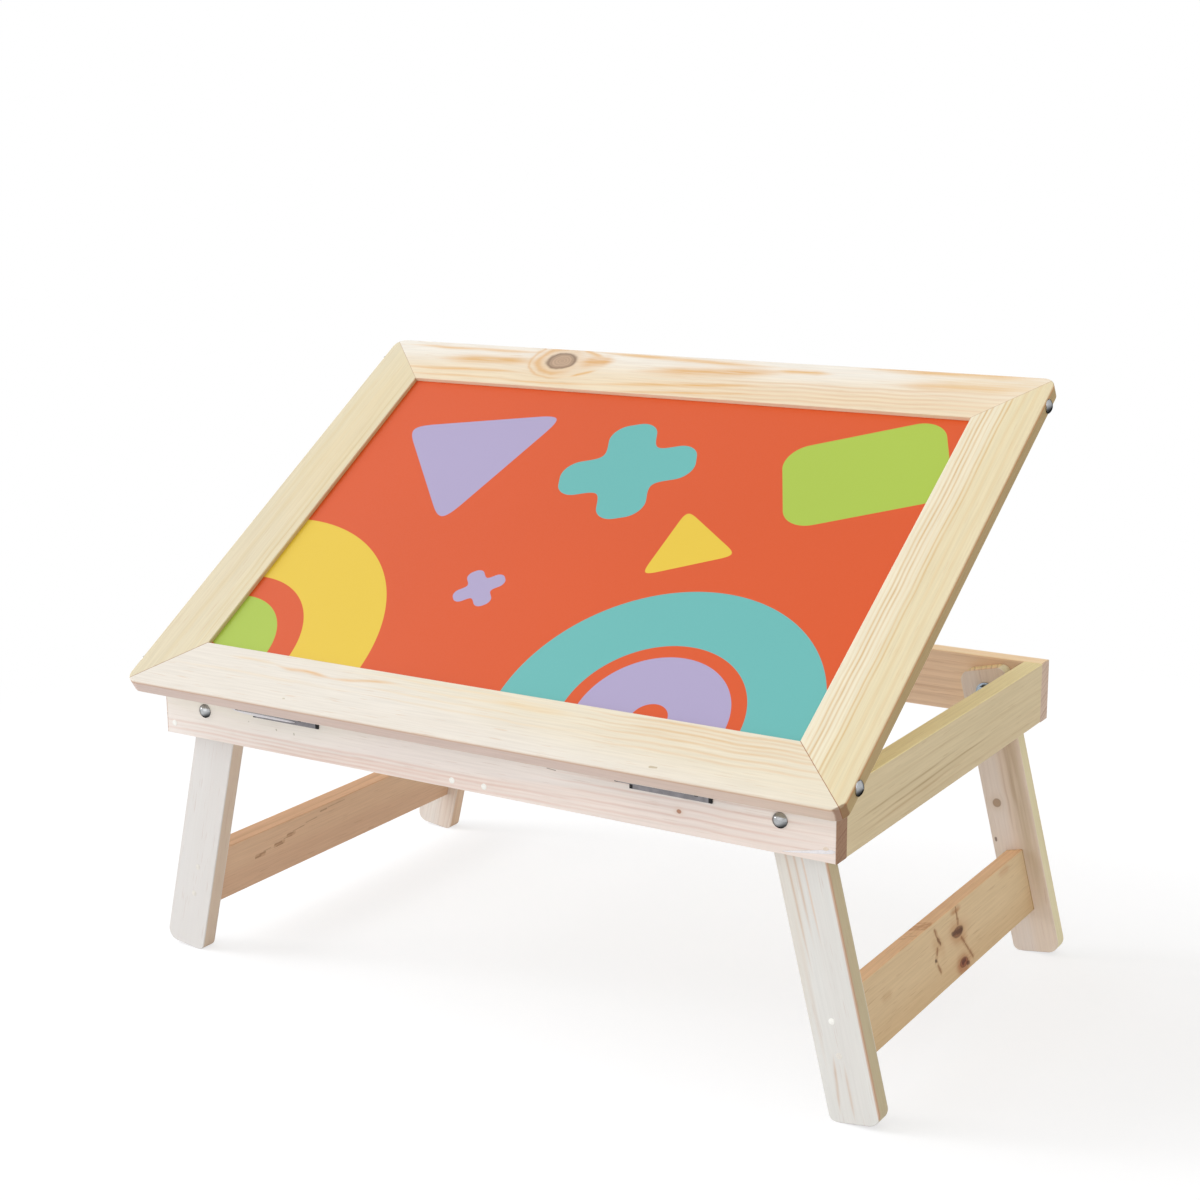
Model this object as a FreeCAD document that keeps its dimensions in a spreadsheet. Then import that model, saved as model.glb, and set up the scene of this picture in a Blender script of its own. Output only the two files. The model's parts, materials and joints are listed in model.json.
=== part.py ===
# Folding study table: a framed writing panel hinged to a low base, with legs that fold in.
# Millimetres, +Z up, X along the table, +Y to the rear, the origin on the floor below its middle.
import FreeCAD, Part
import os
import re
import Sketcher
from FreeCAD import Placement, Rotation, Vector

SIZES = [
    # base frame
    ("base_depth", 383, "base frame, front face to rear face, along Y"),
    ("rail_top_height", 235, "floor to the top of the rails"),
    ("rail_height", 48, "height of the four rails"),
    ("rail_thickness", 15, "thickness of the front and rear rails"),
    ("side_rail_thickness", 15, "thickness of the side rails"),
    ("board_edge_radius", 0.8, "softened edges of the boards"),
    # tilting top
    ("top_length", 610, "tilting top, along X"),
    ("top_depth", 425, "tilting top, front edge to rear edge"),
    ("top_thickness", 12, "thickness of the top's frame members"),
    ("member_width", 50, "width of the top's frame members"),
    ("top_corner_radius", 10, "rounded outer corners of the top"),
    ("top_edge_radius", 1.2, "softened outer edges of the top"),
    ("lip_edge_radius", 0.6, "softened edge round the panel"),
    ("front_reach", 20.8, "tilt axis to the front edge of the top"),
    ("rest_tilt", 32.7, "tilt of the top as it stands, in degrees"),
    ("closing_gap", 0.3, "closed top above the rails"),
    ("panel_thickness", 4, "thickness of the writing panel"),
    ("panel_recess", 3.5, "panel below the upper face of its frame"),
    ("groove_depth", 7, "depth of the groove that holds the panel"),
    ("panel_play", 0.1, "play of the panel above and below it in its groove"),
    ("panel_end_play", 1, "play at the panel's edges, for the wood to move"),
    # legs
    ("leg_width", 38, "width of a leg"),
    ("leg_thickness", 14, "thickness of a leg"),
    ("leg_top_rise", 18.5, "leg pivot to the leg's upper end"),
    ("leg_top_radius", 8.5, "rounded upper corners of a leg"),
    ("foot_outer_radius", 9, "rounded outer corner of a foot"),
    ("foot_inner_radius", 6, "rounded inner corner of a foot"),
    ("foot_slant", 6, "end of a leg out of square, longer at its outer side, in degrees"),
    ("foot_flat_depth", 0.4, "what is sanded off a foot where it stands"),
    ("pivot_drop", 25, "top of the rails down to the leg pivots"),
    ("pivot_inset", 25.5, "side rail's inner face to the leg pivot"),
    ("leg_side_gap", 0.3, "running gap between a leg and the rail, and the washer"),
    ("stop_gap", 0.3, "gap of an opened leg to the side rail's lower edge that stops it"),
    ("stretcher_height", 50, "height of a stretcher board"),
    ("stretcher_thickness", 14, "thickness of a stretcher board"),
    ("stretcher_drop", 129.5, "leg pivot down the leg to the stretcher's upper edge"),
    ("stretcher_offset", 2, "stretcher's middle inward of the leg's middle line"),
    # leg pivot bolts
    ("bolt_radius", 3, "leg pivot bolt, radius of its shank"),
    ("bolt_head_radius", 5.4, "leg pivot bolt, radius of its dome head"),
    ("bolt_head_height", 3.6, "leg pivot bolt, height of its dome head"),
    ("head_rim", 0.8, "straight rim of a dome head"),
    ("bolt_end", 2.5, "leg pivot bolt past its nut"),
    ("pivot_play", 0.08, "radial play of a turning part on its bolt or rod"),
    ("fixed_play", 0.05, "radial play of a fixed fastener in its hole"),
    ("washer_radius", 7.5, "washer, outer radius"),
    ("washer_thickness", 1.2, "washer, thickness"),
    ("nut_across", 10, "hexagon nut, across its flats"),
    ("nut_height", 4.8, "hexagon nut, height"),
    # nails and wood screws
    ("nail_radius", 1.2, "nail, radius of its shank"),
    ("nail_head_radius", 2.2, "nail, radius of its sunk head"),
    ("nail_head_height", 1, "nail, height of its sunk head"),
    ("nail_length", 40, "nail, length"),
    ("point_length", 3, "point of a nail or screw"),
    ("rail_nail_margin", 8.5, "rail's edge to the nails of its corner joint"),
    ("batten_nail_spread", 14, "middle of the centre batten to its nails"),
    ("stretcher_nail_margin", 13, "stretcher's edge to its nails"),
    ("corner_screw_radius", 2, "top's corner screw, radius of its shank"),
    ("corner_screw_length", 40, "top's corner screw, length in the wood"),
    ("corner_head_radius", 5.3, "top's corner screw, radius of its dome head"),
    ("corner_head_height", 3.2, "top's corner screw, height of its dome head"),
    ("screw_radius", 1.6, "small wood screw, radius of its shank"),
    ("screw_head_radius", 3, "small wood screw, radius of its sunk head"),
    ("batten_screw_length", 14, "screws of the cross batten and the rack"),
    # butt hinges
    ("hinge_length", 63.5, "butt hinge, length"),
    ("hinge_leaf_width", 20, "butt hinge, pin's middle to the leaf's edge"),
    ("hinge_leaf_thickness", 1.2, "butt hinge, thickness of a leaf"),
    ("barrel_radius", 2.6, "butt hinge, radius of its barrel"),
    ("hinge_pin_radius", 1.2, "butt hinge, radius of its pin"),
    ("hinge_pin_head", 0.5, "butt hinge, pin past the barrel at each end"),
    ("knuckle_gap", 0.3, "gap between neighbouring knuckles"),
    ("hinge_spread", 167, "middle of the table to the middle of a hinge"),
    ("hinge_screw_reach", 12.5, "pin's middle to the leaf's screws"),
    ("hinge_screw_margin", 7.75, "leaf's ends to its outer screws"),
    ("hinge_screw_length", 9, "hinge screw, length"),
    # centre batten and rack
    ("batten_width", 50, "centre batten, along X"),
    ("batten_thickness", 12, "centre batten, thickness"),
    ("rack_width", 30, "notched rack, along X"),
    ("rack_height", 8, "notched rack, height"),
    ("rack_inset", 19, "rear rail's inner face to the notched rack"),
    ("rack_margin", 19, "notched rack past the middle of its end notches"),
    ("notch_pitch", 18, "distance between neighbouring notches"),
    ("notch_radius", 6.5, "notch, radius"),
    ("notch_rise", 2, "notch's centre above the rack"),
    # cross batten under the panel
    ("cross_width", 40, "cross batten, width"),
    ("cross_thickness", 12, "cross batten, thickness below the panel"),
    ("cross_end_gap", 2, "cross batten's end to the side rail when the top is closed"),
    ("cross_side_gap", 0.3, "cross batten to the side members of the top"),
    ("cross_screw_margin", 5, "cross batten's screws to its end and to the panel's groove"),
    ("cross_screw_spread", 12, "cross batten's middle to its screws"),
    # prop
    ("prop_reach", 150, "tilt axis to the prop's pivot, along the top"),
    ("prop_arm_radius", 9, "prop arm, half its height and its rounded ends"),
    ("prop_arm_thickness", 12, "prop arm, along X"),
    ("prop_half_width", 60, "middle of the table to a prop arm's outer face"),
    ("prop_arm_gap", 1, "prop arm below the cross batten"),
    ("prop_side_gap", 0.5, "prop arm to its bracket and to its nut"),
    ("bracket_thickness", 14, "prop bracket, along X"),
    ("bracket_width", 26, "prop bracket, along the top"),
    ("bracket_below", 7, "prop bracket below the pivot"),
    ("pivot_rod_radius", 3, "prop's pivot rod, radius"),
    ("rod_end", 1, "pivot rod past its nuts"),
    ("foot_radius", 6, "prop's foot dowel, radius"),
    ("foot_gap", 0.5, "foot dowel above the lands between the notches"),
    ("overrun", 5, "how far a cutter runs past what it cuts"),
]

# Places worked out from the sizes. The tilt axis is the hinges' pin; the base's own zero is the
# middle of the front rail's front face, on the floor.
PLACES = {
    "hinge_y": "-barrel_radius",
    "hinge_z": "rail_top_height + closing_gap - barrel_radius",
    "base_y": "0 - (front_end + base_depth + bolt_head_height) / 2",
    "front_end": "hinge_y - (front_reach - top_edge_radius) * cos(rest_tilt)"
                 " - (barrel_radius + top_thickness - top_edge_radius) * sin(rest_tilt) - top_edge_radius",
    "rail_bottom": "rail_top_height - rail_height",
    "side_rail_length": "base_depth - 2 * rail_thickness",
    "opening_length": "top_length - 2 * member_width",
    "cross_length": "opening_length + 2 * (groove_depth + 2 * cross_screw_margin)",
    "base_length": "cross_length + 2 * (cross_end_gap + side_rail_thickness)",
    "top_rear": "top_depth - front_reach",
    "panel_low": "barrel_radius + top_thickness - panel_recess - panel_thickness",
    "pivot_x": "base_length / 2 - side_rail_thickness - pivot_inset",
    "pivot_z": "rail_top_height - pivot_drop",
    "leg_lean": "acos((leg_width / 2 + stop_gap) / hypot(pivot_inset; rail_height - pivot_drop))"
                " - atan((rail_height - pivot_drop) / pivot_inset)",
    "heel_middle": "(pivot_z + foot_flat_depth - foot_inner_radius"
                   " - (leg_width / 2 - foot_inner_radius) * sin(leg_lean)) / cos(leg_lean)",
    "leg_reach": "heel_middle + foot_inner_radius * (1 / cos(foot_slant) - tan(foot_slant))",
    "outer_reach": "leg_reach + leg_width * tan(foot_slant)",
    "inner_run": "foot_inner_radius * tan((90 - foot_slant) / 2)",
    "outer_run": "foot_outer_radius * tan((90 + foot_slant) / 2)",
    "leg_front": "rail_thickness + leg_side_gap",
    "legs_depth": "base_depth - 2 * leg_front",
    "stretcher_length": "legs_depth - 2 * leg_thickness",
    "washer_y": "leg_front + leg_thickness + leg_side_gap",
    "bolt_length": "washer_y + washer_thickness + nut_height + bolt_end",
    "prop_low": "panel_low - cross_thickness - prop_arm_gap - prop_arm_radius",
    "prop_y": "hinge_y + prop_reach * cos(rest_tilt) - prop_low * sin(rest_tilt)",
    "prop_z": "hinge_z + prop_reach * sin(rest_tilt) + prop_low * cos(rest_tilt)",
    "batten_top": "rail_bottom + batten_thickness",
    "foot_z": "batten_top + rack_height + foot_gap + foot_radius",
    "rack_length": "(notch_count - 1) * notch_pitch + 2 * rack_margin",
    "foot_y": "base_depth - rail_thickness - rack_inset - rack_length / 2",
    "prop_arm_length": "hypot(foot_y - prop_y; prop_z - foot_z)",
    "prop_slope": "asin((prop_z - foot_z) / prop_arm_length)",
    "arm_inner": "prop_half_width - prop_arm_thickness",
    "bracket_outer": "arm_inner - prop_side_gap",
    "rod_length": "2 * (prop_half_width + prop_side_gap + nut_height + rod_end)",
    "hinge_screw_spacing": "hinge_length / 2 - hinge_screw_margin",
    "knuckle_length": "(hinge_length - (knuckle_count - 1) * knuckle_gap) / knuckle_count",
}
NOTCH_COUNT = 5
KNUCKLE_COUNT = 5
COUNTS = {"notch_count": NOTCH_COUNT, "knuckle_count": KNUCKLE_COUNT}

UPRIGHT = Rotation()
DIRECTIONS = {
    "+x": Rotation(Vector(0, 0, 1), Vector(1, 0, 0)),
    "-x": Rotation(Vector(0, 0, 1), Vector(-1, 0, 0)),
    "+y": Rotation(Vector(0, 0, 1), Vector(0, 1, 0)),
    "-y": Rotation(Vector(0, 0, 1), Vector(0, -1, 0)),
    "+z": UPRIGHT,
}

doc = FreeCAD.newDocument("folding_study_table")
sheet = doc.addObject("Spreadsheet::Sheet", "Sizes")
for row, (alias, amount, meaning) in enumerate(SIZES, start=1):
    sheet.set("A%d" % row, meaning)
    sheet.set("B%d" % row, str(amount))
    sheet.setAlias("B%d" % row, alias)
doc.recompute()
CELLS = {alias for alias, amount, meaning in SIZES}
nodes = []


def bound(text):
    """Writes a length or place out in the sheet's cells."""
    def word(match):
        name = match.group()
        if name in PLACES:
            return "(" + bound(PLACES[name]) + ")"
        if name in COUNTS:
            return str(COUNTS[name])
        return "Sizes." + name if name in CELLS else name
    return re.sub(r"[a-z][a-z_]*", word, text)


def value(text):
    """The number that a length or place comes to now."""
    result = sheet.evalExpression(bound(text))
    return float(getattr(result, "Value", result))


def bind(feature, **sizes):
    """Binds a feature's sizes to the sheet."""
    for name, text in sizes.items():
        feature.setExpression(name, bound(text))
    return feature


def place(feature, at, rotation=UPRIGHT):
    """Puts a feature at a bound place, turned as given."""
    feature.Placement = Placement(Vector(), rotation)
    for axis, text in zip("xyz", at):
        feature.setExpression("Placement.Base." + axis, bound(text))
    return feature


def seat(feature, frame):
    """Puts a finished sub-part into the frame of the body that it belongs to."""
    at, axis, angle = frame
    place(feature, at, Rotation(axis, 1))
    feature.setExpression("Placement.Rotation.Angle", bound(angle))
    return feature


def node(label, feature, frame):
    """Names a finished sub-part and seats it in its body's frame."""
    feature.Label = label
    nodes.append(seat(feature, frame))


BASE = (("0", "base_y", "0"), Vector(1, 0, 0), "0 * rest_tilt")
TOP = (("0", "base_y + hinge_y", "hinge_z"), Vector(1, 0, 0), "rest_tilt")
PROP = (("0", "base_y + prop_y", "prop_z"), Vector(1, 0, 0), "-1 * prop_slope")


def leg_frame(side):
    """The frame of one side's legs: zero at the pivot, Z up along the leaning legs."""
    return (("%d * pivot_x" % side, "base_y", "pivot_z"), Vector(0, 1, 0), "%d * leg_lean" % -side)


def block(name, low, size):
    """A plain block with its lowest corner at a bound place."""
    feature = bind(doc.addObject("Part::Box", name), Length=size[0], Width=size[1], Height=size[2])
    return place(feature, low)


def rod(name, radius, length, at, along):
    """A cylinder that starts at a bound place and runs in a named direction."""
    feature = bind(doc.addObject("Part::Cylinder", name), Radius=radius, Height=length)
    return place(feature, at, DIRECTIONS[along])


def group(name, parts):
    """Several solids kept as one."""
    feature = doc.addObject("Part::Compound", name)
    feature.Links = parts
    return feature


def fuse(name, parts):
    """Several solids grown together."""
    feature = doc.addObject("Part::MultiFuse", name)
    feature.Shapes = parts
    return feature


def cut(name, base, tools):
    """A solid with the tools taken out of it."""
    feature = doc.addObject("Part::Cut", name)
    feature.Base = base
    feature.Tool = group(name + "_cutters", tools) if len(tools) > 1 else tools[0]
    return feature


def fix(sketch, line, end, at):
    """Fixes one end of a sketch line or arc, or a centre, at a bound place."""
    for kind, text in zip(("DistanceX", "DistanceY"), at):
        index = sketch.addConstraint(Sketcher.Constraint(kind, -1, 1, line, end, value(text)))
        sketch.setExpression("Constraints[%d]" % index, bound(text))


def fix_radius(sketch, curve, radius):
    """Binds the radius of a sketch arc or circle."""
    index = sketch.addConstraint(Sketcher.Constraint("Radius", curve, value(radius)))
    sketch.setExpression("Constraints[%d]" % index, bound(radius))


def draw_circle(sketch, at, radius):
    """Draws a bound circle."""
    centre = Vector(value(at[0]), value(at[1]), 0)
    index = sketch.addGeometry(Part.Circle(centre, Vector(0, 0, 1), value(radius)))
    fix(sketch, index, 3, at)
    fix_radius(sketch, index, radius)


def draw_outline(sketch, corners):
    """Draws a closed outline. A third item at a corner is the radius of an arc from it to the next
    corner, which turns to the left; a fourth, True, makes that arc turn to the right."""
    points = [Vector(value(corner[0]), value(corner[1]), 0) for corner in corners]
    ends = []
    for number, corner in enumerate(corners):
        start = points[number]
        finish = points[(number + 1) % len(points)]
        if len(corner) == 2:
            ends.append((sketch.addGeometry(Part.LineSegment(start, finish)), 1, 2))
            continue
        right = len(corner) == 4
        radius = value(corner[2])
        middle = (start + finish) / 2
        chord = finish - start
        across = Vector(-chord.y, chord.x, 0).normalize() * (-1 if right else 1)
        centre = middle + across * max(radius ** 2 - chord.Length ** 2 / 4, 0) ** 0.5
        tip = centre - across * radius
        arc = Part.Arc(start, tip, finish)
        index = sketch.addGeometry(arc)
        ends.append((index, 2, 1) if right else (index, 1, 2))
        fix_radius(sketch, index, corner[2])
    for number, (index, first, last) in enumerate(ends):
        after, after_first, after_last = ends[(number + 1) % len(ends)]
        sketch.addConstraint(Sketcher.Constraint("Coincident", index, last, after, after_first))
        fix(sketch, index, first, corners[number][:2])


def new_sketch(body, name, plane="XY_Plane", lift="0"):
    """A sketch on one of a body's own planes, lifted off it by a bound distance."""
    sketch = body.newObject("Sketcher::SketchObject", name)
    face = [item for item in body.Origin.OriginFeatures if item.Role == plane][0]
    sketch.AttachmentSupport = [(face, "")]
    sketch.MapMode = "FlatFace"
    if lift != "0":
        sketch.setExpression("AttachmentOffset.Base.z", bound(lift))
    return sketch


def pad(body, name, sketch, length, reverse=False):
    """Raises a sketch into a solid."""
    feature = bind(body.newObject("PartDesign::Pad", name), Length=length)
    feature.Profile = sketch
    feature.Reversed = reverse
    return feature


def round_edges(body, feature, radius, chosen):
    """Rounds those edges of a body's last feature that the rule picks."""
    doc.recompute()
    picked = ["Edge%d" % number for number, edge in enumerate(feature.Shape.Edges, start=1) if chosen(edge)]
    rounding = body.newObject("PartDesign::Fillet", feature.Name + "_rounding")
    rounding.Base = (feature, picked)
    return bind(rounding, Radius=radius)


def same(one, other):
    """Whether two numbers are alike, but for rounding."""
    return abs(one - other) < FreeCAD.Base.Precision.confusion()


def runs_along(edge, axis):
    """Whether a straight edge runs along one of the axes."""
    return isinstance(edge.Curve, Part.Line) and same(abs(edge.Curve.Direction.dot(axis)), 1)


def board(name, low, size, grain):
    """A straight board with its long edges softened."""
    body = doc.addObject("PartDesign::Body", name)
    plank = bind(body.newObject("PartDesign::AdditiveBox", name + "_plank"),
                 Length=size[0], Width=size[1], Height=size[2])
    place(plank, low)
    round_edges(body, plank, "board_edge_radius", lambda edge: runs_along(edge, grain))
    return body


ALONG_X = Vector(1, 0, 0)
ALONG_Y = Vector(0, 1, 0)
ALONG_Z = Vector(0, 0, 1)


def turned(name, profile, at, along):
    """A solid turned from a half profile of (radius, distance along it), pointing in a direction."""
    sketch = doc.addObject("Sketcher::SketchObject", name + "_profile")
    sketch.Placement = Placement(Vector(), Rotation(Vector(1, 0, 0), 90))
    draw_outline(sketch, profile)
    feature = doc.addObject("Part::Revolution", name)
    feature.Source = sketch
    feature.Axis = ALONG_Z
    feature.Angle = 360
    feature.Solid = True
    return place(feature, at, DIRECTIONS[along])


def dome_bolt(name, head_radius, head_height, radius, length, at, along):
    """A dome-head bolt or screw. Its head's flat side lies at the place, its shank points along."""
    rise = "(%s - head_rim)" % head_height
    dome = "((%s) ^ 2 + %s ^ 2) / (2 * %s)" % (head_radius, rise, rise)
    chamfer = "%s / 4" % radius
    profile = [
        ("0", "-%s" % head_height, dome), (head_radius, "-head_rim"), (head_radius, "0"), (radius, "0"),
        (radius, "%s - %s" % (length, chamfer)), ("%s - %s" % (radius, chamfer), length), ("0", length)]
    return turned(name, profile, at, along)


def sunk_screw(name, head_radius, head_height, radius, length, at, along, play="0", past="0"):
    """A nail or screw with its cone head sunk flush at the place; with play and a run past the
    surface it is the cutter for its own hole."""
    profile = [
        ("0", "-%s" % past), ("%s + %s" % (head_radius, play), "-%s" % past),
        ("%s + %s" % (head_radius, play), "0"), ("%s + %s" % (radius, play), head_height),
        ("%s + %s" % (radius, play), "%s - point_length + %s" % (length, play)),
        ("0", "%s + %s" % (length, play))]
    if past == "0":
        profile = [("0", "0")] + profile[2:]
    return turned(name, profile, at, along)


def nail(name, at, along, cutter=False):
    """A sunk nail, or the cutter for its hole."""
    extra = ("fixed_play", "overrun") if cutter else ("0", "0")
    return sunk_screw(name, "nail_head_radius", "nail_head_height", "nail_radius", "nail_length",
                      at, along, *extra)


def small_screw(name, length, at, along, cutter=False):
    """A small sunk wood screw, or the cutter for its hole."""
    extra = ("fixed_play", "overrun") if cutter else ("0", "0")
    return sunk_screw(name, "screw_head_radius", "hinge_leaf_thickness", "screw_radius", length,
                      at, along, *extra)


def hexagon_nut(name, at, along):
    """A hexagon nut round a bolt of the leg pivots."""
    prism = bind(doc.addObject("Part::Prism", name + "_hexagon"),
                 Circumradius="nut_across / sqrt(3)", Height="nut_height")
    prism.Polygon = 6
    hole = rod(name + "_hole", "bolt_radius + fixed_play", "nut_height + 2 * overrun",
               ("0", "0", "-overrun"), "+z")
    return place(cut(name, prism, [hole]), at, DIRECTIONS[along])


def washer(name, at, along):
    """A plain washer."""
    disc = rod(name + "_disc", "washer_radius", "washer_thickness", ("0", "0", "0"), "+z")
    hole = rod(name + "_hole", "bolt_radius + fixed_play", "washer_thickness + 2 * overrun",
               ("0", "0", "-overrun"), "+z")
    return place(cut(name, disc, [hole]), at, DIRECTIONS[along])


SIDES = (("left", -1), ("right", 1))
ENDS = (("front", "+y", "0"), ("rear", "-y", "base_depth"))


def from_end(end, distance):
    """A place in the base's depth, measured inwards from its front or its rear face."""
    return distance if end == "front" else "base_depth - (%s)" % distance


def rail_nail_places():
    """Where the nails of the four corner joints and of the centre batten start."""
    corners = []
    battens = []
    for end, along, face in ENDS:
        for side, sign in SIDES:
            across = "%d * (base_length - side_rail_thickness) / 2" % sign
            for level, height in (("low", "rail_bottom + rail_nail_margin"),
                                  ("high", "rail_top_height - rail_nail_margin")):
                corners.append(("%s_%s_%s" % (end, side, level), (across, face, height), along))
            spot = ("%d * batten_nail_spread" % sign, face, "rail_bottom + batten_thickness / 2")
            battens.append(("%s_%s" % (end, side), spot, along))
    return corners, battens


def hinge_screw_places(side, sign):
    """How far along X the three screws of a hinge leaf lie."""
    return [("%s_%s" % (side, name), "%d * hinge_spread + %d * hinge_screw_spacing" % (sign, step))
            for name, step in (("a", -1), ("b", 0), ("c", 1))]


def make_base_frame():
    """The four rails, nailed at their corners, and the centre batten between them."""
    corner_nails, batten_nails = rail_nail_places()
    drills = [nail("drill_" + name, at, along, True) for name, at, along in corner_nails]
    batten_drills = [nail("drill_batten_" + name, at, along, True) for name, at, along in batten_nails]
    for end, along, face in ENDS:
        low = ("-base_length / 2", from_end(end, "0") if end == "front" else "base_depth - rail_thickness",
               "rail_bottom")
        plank = board(end + "_rail_board", low, ("base_length", "rail_thickness", "rail_height"), ALONG_X)
        tools = [drill for drill in drills + batten_drills if end in drill.Name]
        for side, sign in SIDES:
            tools.append(rod("drill_bolt_%s_%s" % (end, side), "bolt_radius + fixed_play",
                             "rail_thickness + 2 * overrun",
                             ("%d * pivot_x" % sign, from_end(end, "-overrun"), "pivot_z"), along))
        if end == "front":
            for side, sign in SIDES:
                for name, across in hinge_screw_places(side, sign):
                    tools.append(small_screw("drill_base_leaf_" + name, "hinge_screw_length",
                                             (across, "-hinge_leaf_thickness", "hinge_z - hinge_screw_reach"),
                                             "+y", True))
        node(end + "_rail", cut(end + "_rail_drilled", plank, tools), BASE)
    for side, sign in SIDES:
        low = ("%d * (base_length - side_rail_thickness) / 2 - side_rail_thickness / 2" % sign,
               "rail_thickness", "rail_bottom")
        plank = board(side + "_side_board", low,
                      ("side_rail_thickness", "side_rail_length", "rail_height"), ALONG_Y)
        tools = [drill for drill in drills if side in drill.Name]
        node(side + "_side_rail", cut(side + "_side_drilled", plank, tools), BASE)
    node("rail_nails", group("rail_nail_group",
                             [nail("nail_" + name, at, along) for name, at, along in corner_nails]), BASE)
    plank = board("batten_board", ("-batten_width / 2", "rail_thickness", "rail_bottom"),
                  ("batten_width", "side_rail_length", "batten_thickness"), ALONG_Y)
    rack_drills = [small_screw("drill_" + name, "batten_screw_length", at, "+z", True)
                   for name, at in rack_screw_places()]
    node("centre_batten", cut("batten_drilled", plank, batten_drills + rack_drills), BASE)
    node("batten_nails", group("batten_nail_group",
                               [nail("batten_nail_" + name, at, along) for name, at, along in batten_nails]),
         BASE)


def rack_screw_places():
    """Where the rack's two screws start, in the centre batten's underside."""
    return [("rack_" + name, ("0", "foot_y + %s * notch_pitch" % steps, "rail_bottom"))
            for name, steps in (("a", "(-3 / 2)"), ("b", "(3 / 2)"))]


def make_rack():
    """The notched rack on the centre batten. Its middle notch lies under the foot dowel."""
    body = doc.addObject("PartDesign::Body", "rack")
    sketch = new_sketch(body, "rack_plan", lift="batten_top")
    draw_outline(sketch, [("-rack_width / 2", "foot_y - rack_length / 2"),
                          ("rack_width / 2", "foot_y - rack_length / 2"),
                          ("rack_width / 2", "foot_y + rack_length / 2"),
                          ("-rack_width / 2", "foot_y + rack_length / 2")])
    pad(body, "rack_strip", sketch, "rack_height")
    notch = new_sketch(body, "notch_section", "YZ_Plane")
    first_notch = ("foot_y - (notch_count - 1) / 2 * notch_pitch", "batten_top + rack_height + notch_rise")
    draw_circle(notch, first_notch, "notch_radius")
    doc.recompute()
    pocket = bind(body.newObject("PartDesign::Pocket", "notch"), Length="rack_width + 2 * overrun")
    pocket.Profile = notch
    pocket.Midplane = True
    pattern = body.newObject("PartDesign::LinearPattern", "notches")
    pattern.Originals = [pocket]
    pattern.Direction = (notch, ["H_Axis"])
    pattern.Occurrences = NOTCH_COUNT
    bind(pattern, Length="(notch_count - 1) * notch_pitch")
    body.Tip = pattern
    tools = [small_screw("drill_strip_" + name, "batten_screw_length", at, "+z", True)
             for name, at in rack_screw_places()]
    node("prop_rack", cut("rack_drilled", body, tools), BASE)
    screws = [small_screw("screw_" + name, "batten_screw_length", at, "+z")
              for name, at in rack_screw_places()]
    node("rack_screws", group("rack_screw_group", screws), BASE)


def make_leg_pivots():
    """The four dome-head bolts that the legs turn on, with washers and nuts inside the legs."""
    bolts = []
    washers = []
    nuts = []
    for end, along, face in ENDS:
        for side, sign in SIDES:
            name = "%s_%s" % (end, side)
            across = "%d * pivot_x" % sign
            bolts.append(dome_bolt("bolt_" + name, "bolt_head_radius", "bolt_head_height", "bolt_radius",
                                   "bolt_length", (across, face, "pivot_z"), along))
            washers.append(washer("washer_" + name, (across, from_end(end, "washer_y"), "pivot_z"), along))
            nuts.append(hexagon_nut("nut_" + name,
                                    (across, from_end(end, "washer_y + washer_thickness"), "pivot_z"), along))
    node("leg_pivot_bolts", group("leg_bolt_group", bolts), BASE)
    node("leg_pivot_washers", group("leg_washer_group", washers), BASE)
    node("leg_pivot_nuts", group("leg_nut_group", nuts), BASE)


def hinge_leaf(name, middle, knuckles, strip, tab, screws):
    """One leaf of a butt hinge about the X axis: a screwed strip, and knuckles joined to it by tabs.
    Strip and tab give the low corner and the size across, as (y, z, width, height)."""
    start = "%s - hinge_length / 2" % middle
    parts = [block(name + "_strip", (start, strip[0], strip[1]), ("hinge_length", strip[2], strip[3]))]
    for number in knuckles:
        at = "%s + %d * (knuckle_length + knuckle_gap)" % (start, number)
        parts.append(block("%s_tab%d" % (name, number), (at, tab[0], tab[1]),
                           ("knuckle_length", tab[2], tab[3])))
        parts.append(rod("%s_knuckle%d" % (name, number), "barrel_radius", "knuckle_length",
                         (at, "0", "0"), "+x"))
    bore = rod(name + "_bore", "hinge_pin_radius + pivot_play", "hinge_length + 2 * overrun",
               ("%s - overrun" % start, "0", "0"), "+x")
    return cut(name, fuse(name + "_solid", parts), [bore] + screws)


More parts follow.
